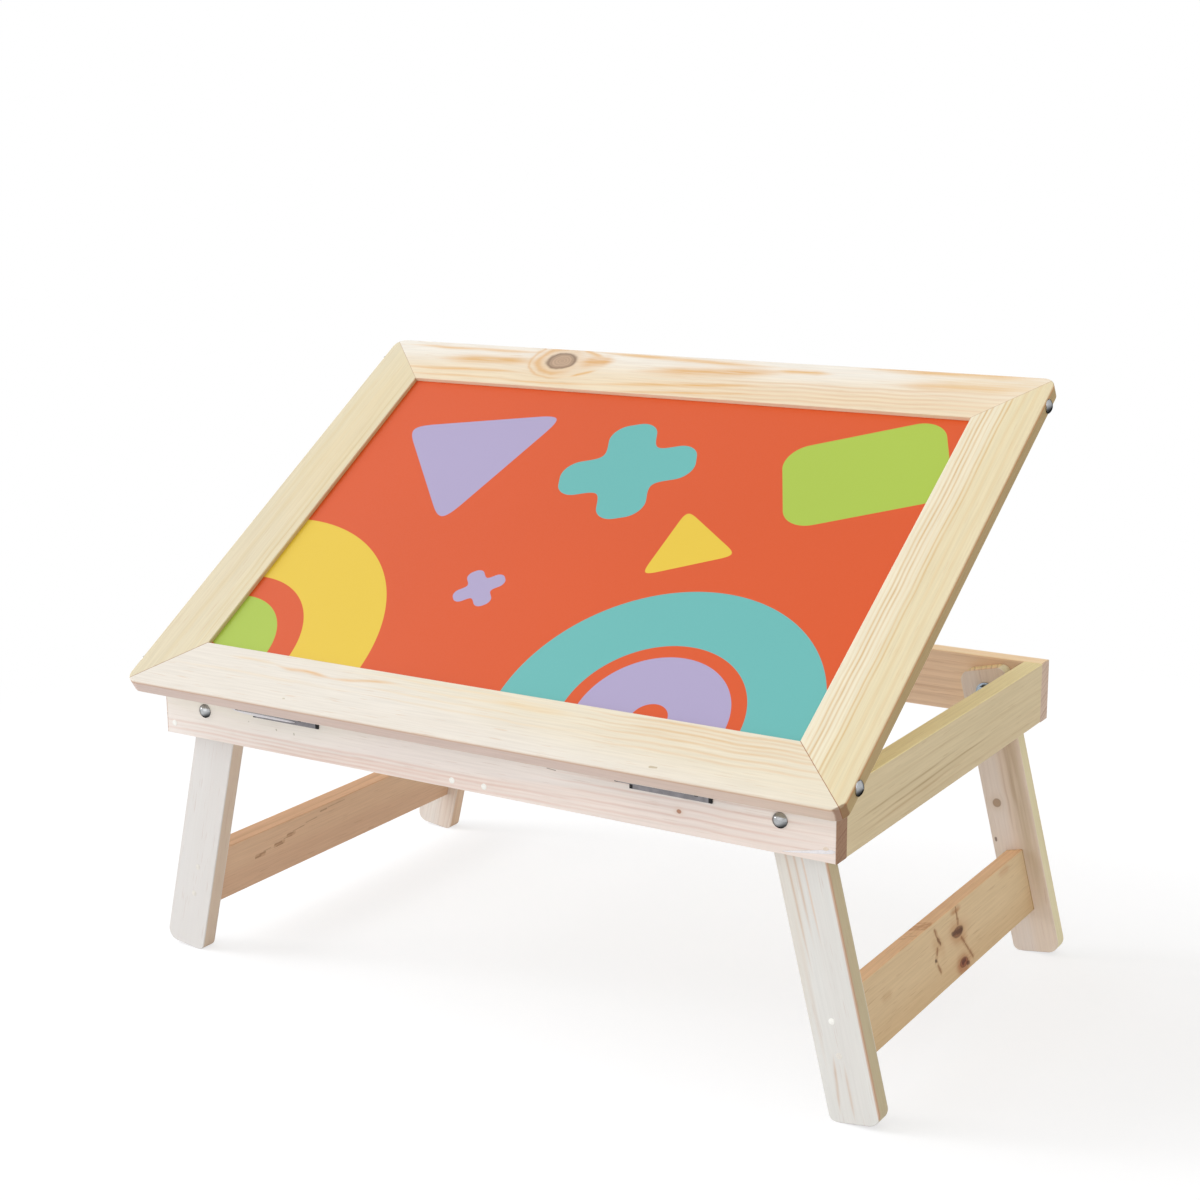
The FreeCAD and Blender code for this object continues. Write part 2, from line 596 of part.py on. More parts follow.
def make_hinges():
    """The two butt hinges. The base leaf is screwed to the front rail, the top leaf under the top."""
    hinge_frame = (("0", "base_y + hinge_y", "hinge_z"), Vector(1, 0, 0), "0 * rest_tilt")
    relief = "barrel_radius + knuckle_gap"
    strip_width = "hinge_leaf_width - barrel_radius - knuckle_gap"
    inner = "barrel_radius - hinge_leaf_thickness"
    base_screws = []
    top_screws = []
    for side, sign in SIDES:
        middle = "%d * hinge_spread" % sign
        screws = []
        for name, across in hinge_screw_places(side, sign):
            base_at = (across, inner, "-hinge_screw_reach")
            screws.append(small_screw("hole_base_leaf_" + name, "hinge_screw_length", base_at, "+y", True))
            base_screws.append(small_screw("screw_base_leaf_" + name, "hinge_screw_length", base_at, "+y"))
        leaf = hinge_leaf(side + "_base_leaf", middle, range(0, KNUCKLE_COUNT, 2),
                          (inner, "-hinge_leaf_width", "hinge_leaf_thickness", strip_width),
                          (inner, "-(%s)" % relief, "hinge_leaf_thickness", relief), screws)
        node(side + "_hinge_base_leaf", leaf, hinge_frame)
        screws = []
        for name, across in hinge_screw_places(side, sign):
            top_at = (across, "-hinge_screw_reach", inner)
            screws.append(small_screw("hole_top_leaf_" + name, "hinge_screw_length", top_at, "+z", True))
            top_screws.append(small_screw("screw_top_leaf_" + name, "hinge_screw_length", top_at, "+z"))
        leaf = hinge_leaf(side + "_top_leaf", middle, range(1, KNUCKLE_COUNT, 2),
                          ("-hinge_leaf_width", inner, strip_width, "hinge_leaf_thickness"),
                          ("-(%s)" % relief, inner, relief, "hinge_leaf_thickness"), screws)
        node(side + "_hinge_top_leaf", leaf, TOP)
        pin = rod(side + "_pin", "hinge_pin_radius", "hinge_length + 2 * hinge_pin_head",
                  ("%s - hinge_length / 2 - hinge_pin_head" % middle, "0", "0"), "+x")
        node(side + "_hinge_pin", group(side + "_pin_group", [pin]), hinge_frame)
    node("hinge_base_screws", group("hinge_base_screw_group", base_screws), hinge_frame)
    node("hinge_top_screws", group("hinge_top_screw_group", top_screws), TOP)


def top_corner(across, along, inset="0"):
    """A corner of the top's outline, moved in by an inset, in the top's own plane."""
    x = "%d * (top_length / 2 - (%s))" % (across, inset)
    y = "-front_reach + (%s)" % inset if along < 0 else "top_rear - (%s)" % inset
    return x, y


MEMBERS = {
    "top_front_member": ((-1, -1), (1, -1)),
    "top_right_member": ((1, -1), (1, 1)),
    "top_rear_member": ((1, 1), (-1, 1)),
    "top_left_member": ((-1, 1), (-1, -1)),
}


def slide(corner, towards, distance):
    """The outline's corner moved along its edge by the corner's radius, towards the other corner."""
    x, y = top_corner(*corner)
    if corner[0] == towards[0]:
        return x, "%s + %d * %s" % (y, -corner[1], distance)
    return "%s + %d * %s" % (x, -corner[0], distance), y


def make_member(name, first, last):
    """One mitred frame member of the top: outline with its half of the rounded corners, the
    panel's groove in its inner edge, and softened outer and inner edges."""
    body = doc.addObject("PartDesign::Body", name + "_wood")
    sketch = new_sketch(body, name + "_plan", lift="barrel_radius")
    corner_middle = "top_corner_radius * (1 - sqrt(1 / 2))"
    draw_outline(sketch, [
        top_corner(*first, corner_middle) + ("top_corner_radius",),
        slide(first, last, "top_corner_radius"),
        slide(last, first, "top_corner_radius") + ("top_corner_radius",),
        top_corner(*last, corner_middle),
        top_corner(*last, "member_width"),
        top_corner(*first, "member_width")])
    wood = pad(body, name + "_pad", sketch, "top_thickness")
    plan = new_sketch(body, name + "_groove_plan", lift="panel_low - panel_play")
    deep = "member_width - groove_depth"
    past = "member_width + overrun"
    draw_outline(plan, [top_corner(*first, deep), top_corner(*last, deep),
                        top_corner(*last, past), top_corner(*first, past)])
    doc.recompute()
    groove = bind(body.newObject("PartDesign::Pocket", name + "_groove"),
                  Length="panel_thickness + 2 * panel_play")
    groove.Profile = plan
    groove.Reversed = True
    doc.recompute()
    if groove.Shape.Volume >= wood.Shape.Volume:
        raise RuntimeError(name + " has no groove")
    underside = value("barrel_radius")
    upper_face = value("barrel_radius + top_thickness")
    side = 0 if first[0] == last[0] else 1
    outer_line = value(top_corner(*last)[side])
    inner_line = value(top_corner(*last, "member_width")[side])
    outer_half = abs(outer_line - inner_line) / 2

    def outer(edge):
        """Whether an edge belongs to the outer outline, above or below."""
        ends = [vertex.Point for vertex in edge.Vertexes]
        level = any(all(same(end.z, height) for end in ends) for height in (underside, upper_face))
        slanted = isinstance(edge.Curve, Part.Line) and not same(ends[0][side], ends[-1][side])
        return level and not slanted and all(abs(end[side] - outer_line) < outer_half for end in ends)

    def lip(edge):
        """Whether an edge is the upper one beside the panel."""
        return all(same(vertex.Z, upper_face) and same(vertex.Point[side], inner_line)
                   for vertex in edge.Vertexes)

    rounding = round_edges(body, groove, "top_edge_radius", outer)
    round_edges(body, rounding, "lip_edge_radius", lip)
    return body


def corner_screw_places():
    """Where the dome-head screws enter the side edges of the top, in its own frame."""
    height = "barrel_radius + top_thickness / 2"
    places = []
    for side, sign, along in (("left", -1, "+x"), ("right", 1, "-x")):
        for end, row in (("front", -1), ("rear", 1)):
            y = top_corner(sign, row, "member_width / 2")[1]
            places.append(("%s_%s" % (end, side), ("%d * top_length / 2" % sign, y, height), along))
    return places


def cross_screw_places():
    """Where the cross batten's screws go up into the side members."""
    low = "panel_low - cross_thickness"
    return [("%s_%s" % (side, name), ("%d * (cross_length / 2 - cross_screw_margin)" % sign,
                                      "prop_reach + %d * cross_screw_spread" % step, low))
            for side, sign in SIDES for name, step in (("a", -1), ("b", 1))]


def make_top():
    """The tilting top: four mitred members screwed at their corners, and the panel in their grooves."""
    for name, (first, last) in MEMBERS.items():
        wood = make_member(name, first, last)
        tools = []
        for spot, at, along in corner_screw_places():
            end, side = spot.split("_")
            if end in name or side in name:
                tools.append(rod("drill_%s_%s" % (name, spot), "corner_screw_radius + fixed_play",
                                 "corner_screw_length + overrun",
                                 ("%s + %s" % (at[0], "overrun" if side == "right" else "-overrun"),
                                  at[1], at[2]), along))
        for spot, at in cross_screw_places():
            if spot.split("_")[0] in name:
                tools.append(small_screw("drill_%s_%s" % (name, spot), "batten_screw_length", at, "+z", True))
        if name == "top_front_member":
            for side, sign in SIDES:
                for spot, across in hinge_screw_places(side, sign):
                    tools.append(small_screw("drill_top_leaf_" + spot, "hinge_screw_length",
                                             (across, "-hinge_screw_reach",
                                              "barrel_radius - hinge_leaf_thickness"), "+z", True))
        node(name, cut(name + "_drilled", wood, tools), TOP)
    edge = "member_width - groove_depth + panel_end_play"
    low = ("-(top_length / 2 - (%s))" % edge, "-front_reach + %s" % edge, "panel_low")
    panel = block("panel_sheet", low,
                  ("top_length - 2 * (%s)" % edge, "top_depth - 2 * (%s)" % edge, "panel_thickness"))
    node("top_panel", group("panel_group", [panel]), TOP)
    screws = [dome_bolt("corner_screw_" + name, "corner_head_radius", "corner_head_height",
                        "corner_screw_radius", "corner_screw_length", at, along)
              for name, at, along in corner_screw_places()]
    node("corner_screws", group("corner_screw_group", screws), TOP)


def make_cross_batten():
    """The batten under the panel, let in between the side members and screwed up into them."""
    low = "panel_low - cross_thickness"
    front = "prop_reach - cross_width / 2"
    middle = block("cross_middle", ("-(opening_length / 2 - cross_side_gap)", front, low),
                   ("opening_length - 2 * cross_side_gap", "cross_width", "cross_thickness"))
    ends = block("cross_ends", ("-cross_length / 2", front, low),
                 ("cross_length", "cross_width", "barrel_radius - (%s)" % low))
    tools = [small_screw("drill_cross_" + name, "batten_screw_length", at, "+z", True)
             for name, at in cross_screw_places()]
    node("cross_batten", cut("cross_drilled", fuse("cross_wood", [middle, ends]), tools), TOP)
    node("cross_batten_screws",
         group("cross_screw_group", [small_screw("cross_screw_" + name, "batten_screw_length", at, "+z")
                                     for name, at in cross_screw_places()]), TOP)


def make_prop():
    """The prop: two arms on a rod through brackets under the cross batten, and their foot dowel."""
    for side, sign in SIDES:
        low_x = "-bracket_outer" if sign < 0 else "bracket_outer - bracket_thickness"
        top_z = "panel_low - cross_thickness"
        ear = block(side + "_bracket_block", (low_x, "prop_reach - bracket_width / 2", "prop_low"),
                    ("bracket_thickness", "bracket_width", "%s - prop_low" % top_z))
        tip = rod(side + "_bracket_tip", "bracket_below", "bracket_thickness",
                  (low_x, "prop_reach", "prop_low"), "+x")
        hole = rod(side + "_bracket_hole", "pivot_rod_radius + fixed_play",
                   "bracket_thickness + 2 * overrun", (low_x + " - overrun", "prop_reach", "prop_low"), "+x")
        node(side + "_prop_bracket", cut(side + "_bracket", fuse(side + "_bracket_wood", [ear, tip]), [hole]),
             TOP)
    pivot = rod("pivot_rod", "pivot_rod_radius", "rod_length", ("-rod_length / 2", "prop_reach", "prop_low"),
                "+x")
    node("prop_pivot_rod", group("pivot_rod_group", [pivot]), TOP)
    nuts = []
    for side, sign in SIDES:
        across = "%d * (prop_half_width + prop_side_gap)" % sign
        nuts.append(hexagon_nut("prop_nut_" + side, (across, "prop_reach", "prop_low"),
                                "+x" if sign > 0 else "-x"))
    node("prop_pivot_nuts", group("prop_nut_group", nuts), TOP)
    for side, sign in SIDES:
        low_x = "-prop_half_width" if sign < 0 else "arm_inner"
        bar = block(side + "_arm_bar", (low_x, "0", "-prop_arm_radius"),
                    ("prop_arm_thickness", "prop_arm_length", "2 * prop_arm_radius"))
        ends = []
        holes = []
        for name, y, bore in (("head", "0", "pivot_rod_radius + pivot_play"),
                              ("toe", "prop_arm_length", "foot_radius + fixed_play")):
            ends.append(rod("%s_arm_%s" % (side, name), "prop_arm_radius", "prop_arm_thickness",
                            (low_x, y, "0"), "+x"))
            holes.append(rod("%s_arm_%s_hole" % (side, name), bore, "prop_arm_thickness + 2 * overrun",
                             (low_x + " - overrun", y, "0"), "+x"))
        node(side + "_prop_arm", cut(side + "_arm", fuse(side + "_arm_wood", [bar] + ends), holes), PROP)
    dowel = rod("foot_dowel", "foot_radius", "2 * prop_half_width",
                ("-prop_half_width", "prop_arm_length", "0"), "+x")
    node("prop_foot_dowel", group("foot_dowel_group", [dowel]), PROP)


def draw_leg(sketch, sign):
    """A leg's outline: a straight bar with its four corners rounded, its outer side at sign. A foot's
    corner gives its radius, where its arc meets the leg's side, and where it meets the slanted end."""
    half = "leg_width / 2"
    inner = ("foot_inner_radius", "inner_run - leg_reach", "inner_run * cos(foot_slant)",
             "-(leg_reach + inner_run * sin(foot_slant))")
    outer = ("foot_outer_radius", "outer_run - outer_reach", "outer_run * cos(foot_slant)",
             "outer_run * sin(foot_slant) - outer_reach")
    left, right = (inner, outer) if sign > 0 else (outer, inner)
    crown = "leg_top_radius"
    draw_outline(sketch, [
        ("-%s" % half, left[1], left[0]), ("%s - %s" % (left[2], half), left[3]),
        ("%s - %s" % (half, right[2]), right[3], right[0]), (half, right[1]),
        (half, "leg_top_rise - %s" % crown, crown), ("%s - %s" % (half, crown), "leg_top_rise"),
        ("%s - %s" % (crown, half), "leg_top_rise", crown), ("-%s" % half, "leg_top_rise - %s" % crown)])


def floor_cutter(name, sign, low_y):
    """A block below the floor, in a leaning leg's own frame."""
    depth = "(pivot_z + leg_width)"
    lean = "(%d * leg_lean)" % sign
    feature = bind(doc.addObject("Part::Box", name), Length="leg_reach + leg_width",
                   Width="leg_thickness + 2 * overrun", Height="leg_width")
    start = "((%d * leg_reach - leg_reach - leg_width) / 2)" % sign
    at = ("%s * cos(%s) - %s * sin(%s)" % (start, lean, depth, lean), "%s - overrun" % low_y,
          "-%s * sin(%s) - %s * cos(%s)" % (start, lean, depth, lean))
    feature = place(feature, at, Rotation(Vector(0, 1, 0), 1))
    feature.setExpression("Placement.Rotation.Angle", bound(lean))
    return feature


def stretcher_nail_places(sign):
    """Where the nails go through a side's legs into its stretcher, in the legs' own frame."""
    across = "%d * stretcher_offset" % -sign
    places = []
    for end, along, face in ENDS:
        for level, drop in (("high", "stretcher_drop + stretcher_nail_margin"),
                            ("low", "stretcher_drop + stretcher_height - stretcher_nail_margin")):
            spot = (across, from_end(end, "leg_front"), "-(%s)" % drop)
            places.append(("%s_%s" % (end, level), spot, along))
    return places


def make_legs():
    """Each side's pair of legs, nailed to the stretcher between them."""
    for side, sign in SIDES:
        frame = leg_frame(sign)
        nails = stretcher_nail_places(sign)
        drills = [nail("drill_%s_stretcher_%s" % (side, name), at, along, True) for name, at, along in nails]
        for end, along, face in ENDS:
            name = "%s_%s_leg" % (side, end)
            low_y = "leg_front" if end == "front" else "base_depth - leg_front - leg_thickness"
            body = doc.addObject("PartDesign::Body", name + "_wood")
            sketch = new_sketch(body, name + "_outline", "XZ_Plane", "-(%s)" % low_y)
            draw_leg(sketch, sign)
            wood = pad(body, name + "_pad", sketch, "leg_thickness", reverse=True)
            doc.recompute()
            if not same(min(vertex.Y for vertex in wood.Shape.Vertexes), value(low_y)):
                raise RuntimeError(name + " is padded the wrong way")
            round_edges(body, wood, "board_edge_radius",
                        lambda edge: same(edge.Vertexes[0].Y, edge.Vertexes[-1].Y))
            bore = rod(name + "_bore", "bolt_radius + pivot_play", "leg_thickness + 2 * overrun",
                       ("0", "%s - overrun" % low_y, "0"), "+y")
            tools = [bore, floor_cutter(name + "_floor", sign, low_y)]
            tools += [drill for drill in drills if end in drill.Name]
            node(name, cut(name + "_drilled", body, tools), frame)
        low = ("%d * stretcher_offset - stretcher_thickness / 2" % -sign, "leg_front + leg_thickness",
               "-(stretcher_drop + stretcher_height)")
        plank = board(side + "_stretcher_board", low,
                      ("stretcher_thickness", "stretcher_length", "stretcher_height"), ALONG_Y)
        node(side + "_stretcher", cut(side + "_stretcher_drilled", plank, drills), frame)
        node(side + "_stretcher_nails",
             group(side + "_stretcher_nail_group",
                   [nail("%s_stretcher_nail_%s" % (side, name), at, along) for name, at, along in nails]),
             frame)


def check_and_write():
    """Checks every feature and sub-part, and writes one file for each sub-part."""
    doc.recompute()
    for feature in doc.Objects:
        if "Invalid" in feature.State or "Error" in feature.State:
            raise RuntimeError("%s is %s" % (feature.Name, feature.State))
    os.makedirs("parts", exist_ok=True)
    for part in nodes:
        if part.Shape.isNull() or not part.Shape.isValid() or not part.Shape.Solids:
            raise RuntimeError(part.Label + " has no sound solid")
    for part in nodes:
        part.Shape.exportStep("parts/%s.step" % part.Label)


make_base_frame()
make_rack()
make_leg_pivots()
make_hinges()
make_top()
make_cross_batten()
make_prop()
make_legs()
check_and_write()
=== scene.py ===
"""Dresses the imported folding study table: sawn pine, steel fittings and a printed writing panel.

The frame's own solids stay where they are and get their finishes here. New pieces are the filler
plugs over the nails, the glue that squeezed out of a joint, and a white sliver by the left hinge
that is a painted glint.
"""
import json
import math

import bmesh
import bpy
from bpy.props import FloatProperty, FloatVectorProperty, PointerProperty
from bpy.types import Operator, Panel, PropertyGroup
from mathutils import Matrix, Vector


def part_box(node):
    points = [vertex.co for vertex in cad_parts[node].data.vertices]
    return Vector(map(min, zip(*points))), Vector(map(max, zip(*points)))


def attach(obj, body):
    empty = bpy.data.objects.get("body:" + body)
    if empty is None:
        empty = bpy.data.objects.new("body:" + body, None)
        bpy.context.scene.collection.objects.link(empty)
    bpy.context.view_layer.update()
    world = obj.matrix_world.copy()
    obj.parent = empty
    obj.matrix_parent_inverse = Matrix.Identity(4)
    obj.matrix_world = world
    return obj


bl_info = {
    "name": "Folding Study Table",
    "version": (1, 0, 0),
    "blender": (4, 5, 0),
    "location": "View3D > Sidebar > Study Table",
    "description": "Pine, steel and printed finishes for a folding study table",
    "category": "Object",
}

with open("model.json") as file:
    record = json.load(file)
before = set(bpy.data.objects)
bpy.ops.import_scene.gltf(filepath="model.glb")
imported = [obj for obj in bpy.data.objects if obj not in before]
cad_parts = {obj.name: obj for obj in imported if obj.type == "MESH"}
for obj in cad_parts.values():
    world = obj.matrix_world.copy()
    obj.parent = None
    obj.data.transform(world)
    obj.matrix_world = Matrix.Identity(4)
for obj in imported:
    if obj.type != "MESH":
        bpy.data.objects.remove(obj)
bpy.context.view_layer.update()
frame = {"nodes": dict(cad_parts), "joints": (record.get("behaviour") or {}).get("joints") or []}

MM = 0.001
TOP_TILT = math.radians(32.7)
LEG_LEAN = math.radians(13.7549)
PROP_SLOPE = math.radians(28.3807)
JOINTS = {joint["name"]: joint for joint in frame["joints"]}
FRONT_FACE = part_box("front_rail")[0].y
REAR_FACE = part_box("rear_rail")[1].y


def tone(code):
    """A colour code such as E9DDD0 as linear light, the way Blender keeps its colours."""
    parts = [int(code[place:place + 2], 16) / 255 for place in (0, 2, 4)]
    return tuple(part / 12.92 if part <= 0.04045 else ((part + 0.055) / 1.055) ** 2.4 for part in parts)


def gain(code):
    """A colour code as a change of tone: B4 leaves a channel as it is, more than that brightens it."""
    return tuple(part / tone("B4B4B4")[0] for part in tone(code))


def at(x, y, z=0):
    """A place on a board's face, from millimetres."""
    return (x * MM, y * MM, z)


def paint(name, code, text):
    """A colour setting."""
    return FloatVectorProperty(name=name, description=text, default=tone(code), subtype="COLOR",
                               size=3, min=0, max=1)


def span(name, millimetres, text):
    """A length setting, kept in metres."""
    return FloatProperty(name=name, description=text, default=millimetres * MM, unit="LENGTH", min=0)


def share(name, amount, text):
    """A setting from nothing to all."""
    return FloatProperty(name=name, description=text, default=amount, subtype="FACTOR", min=0, max=1)


class PineSettings(PropertyGroup):
    """Colours of the boards."""
    top_tint: paint("Top Tint", "FFFFFF", "Tint over the top's frame and the inner boards")
    top_line: paint("Top Grain Lines", "CFA06C", "Late wood of the top's frame and the inner boards")
    rail_tint: paint("Rail Tint", "FFFFFF", "Tint over the rails")
    rail_line: paint("Rail Grain Lines", "B98E74", "Late wood of the front and left rails")
    leg_tint: paint("Leg Tint", "FFFFFF", "Tint over the legs")
    leg_line: paint("Leg Grain Lines", "B58F7E", "Late wood of the legs")
    stretcher_tint: paint("Stretcher Tint", "FFFFFF", "Tint over the stretchers")
    stretcher_line: paint("Stretcher Grain Lines", "9A6A45", "Late wood of the stretchers")
    fibre: share("Fibre Contrast", 0.5, "How much the fine fibres show")


class PanelSettings(PropertyGroup):
    """Colours of the writing panel."""
    ground: paint("Ground", "D7531B", "Orange ground of the print")
    yellow: paint("Yellow", "E5C43C", "Yellow motifs")
    lime: paint("Lime", "A9C347", "Lime motifs")
    lavender: paint("Lavender", "ACA2C8", "Lavender motifs")
    teal: paint("Teal", "66B6B4", "Teal motifs")
    board: paint("Board", "B08A62", "Plain board under the print")


class SteelSettings(PropertyGroup):
    """Colours of the fittings."""
    zinc: paint("Zinc", "B9BBBD", "Zinc-plated bolts, screws and nails")
    nut: paint("Nut Zinc", "A3B0BC", "Paler zinc of the nuts and washers")
    rim: paint("Rim", "4A4440", "Tone of the zinc where it turns away")
    hinge: paint("Hinge Steel", "8F8C8F", "Dull steel of the hinges")
    pin: paint("Pin Steel", "343034", "Dark steel of the hinge pins")
    zinc_roughness: share("Zinc Roughness", 0.2, "Gloss of the zinc")
    hinge_roughness: share("Hinge Roughness", 0.46, "Gloss of the hinges")


class FillerSettings(PropertyGroup):
    """The plugs of putty over the nails, the glue, and the painted glint by the left hinge."""
    plug_radius: span("Plug Radius", 2.3, "Radius of a plug of putty")
    plug_rise: span("Plug Rise", 0.25, "How far a plug stands proud")
    glue_rise: span("Glue Rise", 0.3, "How far the squeezed glue stands proud")
    putty: paint("Putty", "FBFBF8", "White putty")
    wood_filler: paint("Rail Filler", "EADACB", "Filler of the rails' own colour")
    leg_filler: paint("Leg Filler", "E6E2DC", "Filler of the legs' own colour")
    # The glue's colour and rise also make the painted glint by the left hinge.
    glue: paint("Glue", "EFEDF3", "Dried white glue")


class StudioSettings(PropertyGroup):
    """Light, floor and camera."""
    lamp: FloatProperty(name="Lamp", description="Strength of the soft lamp", default=0.9, min=0)
    window: FloatProperty(name="Window", description="Strength of the low light from the left", default=0.45,
                          min=0)
    front: FloatProperty(name="Front", description="Strength of the broad light from the front", default=0.4,
                         min=0)
    sky: share("Sky", 0.72, "Strength of the light from all round")
    floor_light: share("Floor Light", 0.725, "Share of the floor's white that no shadow reaches")
    fade_start: span("Fade Start", 450, "Distance where the floor starts to turn plain white")
    fade_end: span("Fade End", 1100, "Distance where the floor is plain white")
    lens: FloatProperty(name="Lens", description="Focal length of the camera", default=61.232,
                        subtype="DISTANCE_CAMERA")


GROUPS = {}


class Recipe:
    """One node tree, with short calls that add to it."""

    def __init__(self, tree):
        self.tree = tree

    def add(self, kind, **settings):
        made = self.tree.nodes.new(kind)
        for name, value in settings.items():
            setattr(made, name, value)
        return made

    def feed(self, socket, value):
        """Links the value to the socket, or writes it there."""
        if isinstance(value, bpy.types.NodeSocket):
            self.tree.links.new(value, socket)
        elif socket.type == "RGBA" and len(value) == 3:
            socket.default_value = (*value, 1)
        else:
            socket.default_value = value

    def fill(self, made, **values):
        """Feeds a node's inputs by name, with an underscore for each space."""
        for name, value in values.items():
            self.feed(made.inputs[name.replace("_", " ")], value)
        return made

    def pour(self, made, *values):
        """Feeds a node's inputs in their order."""
        for socket, value in zip(made.inputs, values):
            self.feed(socket, value)
        return made

    def math(self, operation, *values, clamp=False):
        return self.pour(self.add("ShaderNodeMath", operation=operation, use_clamp=clamp), *values).outputs[0]

    def plus(self, one, other):
        return self.math("ADD", one, other)

    def minus(self, one, other):
        return self.math("SUBTRACT", one, other)

    def over(self, one, other, clamp=False):
        return self.math("DIVIDE", one, other, clamp=clamp)

    def times(self, first, *others):
        for other in others:
            first = self.math("MULTIPLY", first, other)
        return first

    def bell(self, value, tightness=1.0):
        """One where the value is nought, and smoothly less on both sides of it."""
        return self.math("EXPONENT", self.times(value, value, -tightness))

    def vector(self, operation, *values, result=0):
        return self.pour(self.add("ShaderNodeVectorMath", operation=operation), *values).outputs[result]

    def length(self, vector):
        return self.vector("LENGTH", vector, result="Value")

    def dot(self, one, other):
        return self.vector("DOT_PRODUCT", one, other, result="Value")

    def scaled(self, vector, scale):
        made = self.pour(self.add("ShaderNodeVectorMath", operation="SCALE"), vector)
        return self.fill(made, Scale=scale).outputs[0]

    def split(self, vector):
        return self.pour(self.add("ShaderNodeSeparateXYZ"), vector).outputs

    def join(self, x, y, z):
        return self.pour(self.add("ShaderNodeCombineXYZ"), x, y, z).outputs[0]

    def ramp(self, value, start, end, low=0.0, high=1.0):
        """A smooth step: low up to start, high from end on."""
        made = self.add("ShaderNodeMapRange", interpolation_type="SMOOTHSTEP")
        return self.pour(made, value, start, end, low, high).outputs[0]

    def spread(self, noise, low, high):
        """Spreads noise, which keeps near its middle, from one value to another."""
        return self.ramp(noise, 0.3, 0.7, low, high)

    def step(self, value, start, end):
        """A smooth step from nothing to all between two places in millimetres."""
        return self.ramp(value, start * MM, end * MM)

    def blend(self, factor, one, other, mode="MIX"):
        """Mixes two colours."""
        made = self.add("ShaderNodeMix", data_type="RGBA", blend_type=mode)
        for place, value in ((0, factor), (6, one), (7, other)):
            self.feed(made.inputs[place], value)
        return made.outputs[2]

    def between(self, factor, one, other):
        """Mixes two numbers."""
        made = self.add("ShaderNodeMix", data_type="FLOAT")
        for place, value in ((0, factor), (2, one), (3, other)):
            self.feed(made.inputs[place], value)
        return made.outputs[0]

    def lay(self, colour, other, mask, strength):
        """Lays another colour over the first where the mask shows it."""
        return self.blend(self.times(mask, strength), colour, other)

    def shaded(self, colour, shade):
        """The colour made darker or lighter by one number."""
        return self.blend(1.0, colour, self.join(shade, shade, shade), "MULTIPLY")

    def mix(self, factor, one, other):
        """Mixes the shaders of two nodes."""
        return self.pour(self.add("ShaderNodeMixShader"), factor, one.outputs[0], other.outputs[0])

    def noise(self, vector, scale, detail, result=0):
        """Noise that comes as often in a metre as the scale says."""
        made = self.add("ShaderNodeTexNoise", noise_dimensions="3D")
        return self.fill(made, Vector=vector, Scale=scale, Detail=detail).outputs[result]

    def sheet_noise(self, place, shifts, scales, detail=2.0, result=0):
        """Noise with its own scale along each axis, moved by shifts."""
        moved = self.vector("MULTIPLY_ADD", place, scales, self.scaled(NOISE_SHIFT, shifts))
        return self.noise(moved, 1.0, detail, result)

    def here(self):
        """The place on the object."""
        return self.add("ShaderNodeTexCoord").outputs["Object"]

    def seen_from(self, vector, place, turn):
        """Where a point lies on a grid that has its own place and turn."""
        made = self.add("ShaderNodeMapping", vector_type="TEXTURE")
        return self.fill(made, Vector=vector, Location=place, Rotation=turn).outputs[0]

    def bump(self, shader, strength, millimetres, height):
        """Gives a shader its fine relief."""
        made = self.add("ShaderNodeBump")
        self.fill(made, Strength=strength, Distance=millimetres * MM, Height=height)
        self.fill(shader, Normal=made.outputs[0])

    def group(self, build, **values):
        """Adds the shared node group that a function builds, with its inputs fed."""
        if build not in GROUPS:
            GROUPS[build] = build()
        made = self.add("ShaderNodeGroup", node_tree=GROUPS[build])
        return self.fill(made, **{name.capitalize(): value for name, value in values.items()}).outputs


def new_group(name, inputs, outputs, kind="ShaderNodeTree"):
    """A node group, its recipe, what goes in and the node that takes what comes out."""
    tree = bpy.data.node_groups.new(name, kind)
    for way, sockets in (("INPUT", inputs), ("OUTPUT", outputs)):
        for socket, labels in sockets.items():
            for label in labels.split(", "):
                tree.interface.new_socket(name=label, in_out=way, socket_type="NodeSocket" + socket)
    r = Recipe(tree)
    return tree, r, r.add("NodeGroupInput").outputs, r.add("NodeGroupOutput")


FLAT = (1.0, 1.0, 0.0)
NOISE_SHIFT = (7.3, 3.1, 5.7)

# How often each unevenness of the wood comes in a metre: along, across and through the board.
RING_SWING = (5.0, 9.0, 9.0)
RING_RIPPLE = (26.0, 34.0, 34.0)
BLUSH_PATCHES = (3.0, 24.0, 24.0)
FIBRES = (20.0, 620.0, 620.0)
RESIN_CANALS = (48.0, 1150.0, 1150.0)
STREAK_SWAY = (17.0, 2.0, 2.0)
STREAK_FIBRES = (24.0, 480.0, 480.0)
KNOT_EDGE = 110.0
STROKE_EDGE = 260.0

RING_SHARPNESS = 3.0
RING_WOBBLE = 0.16
RING_PACE, RING_PACE_SPAN = 0.45, 1.6
BLUSH = 0.06
HEART_EDGE_SWING = 0.012
KNOT_UNEVENNESS = 0.36
KNOT_RIM_WIDTH = 0.15
PULL_TIGHTNESS, HALO_TIGHTNESS = 0.2, 0.28


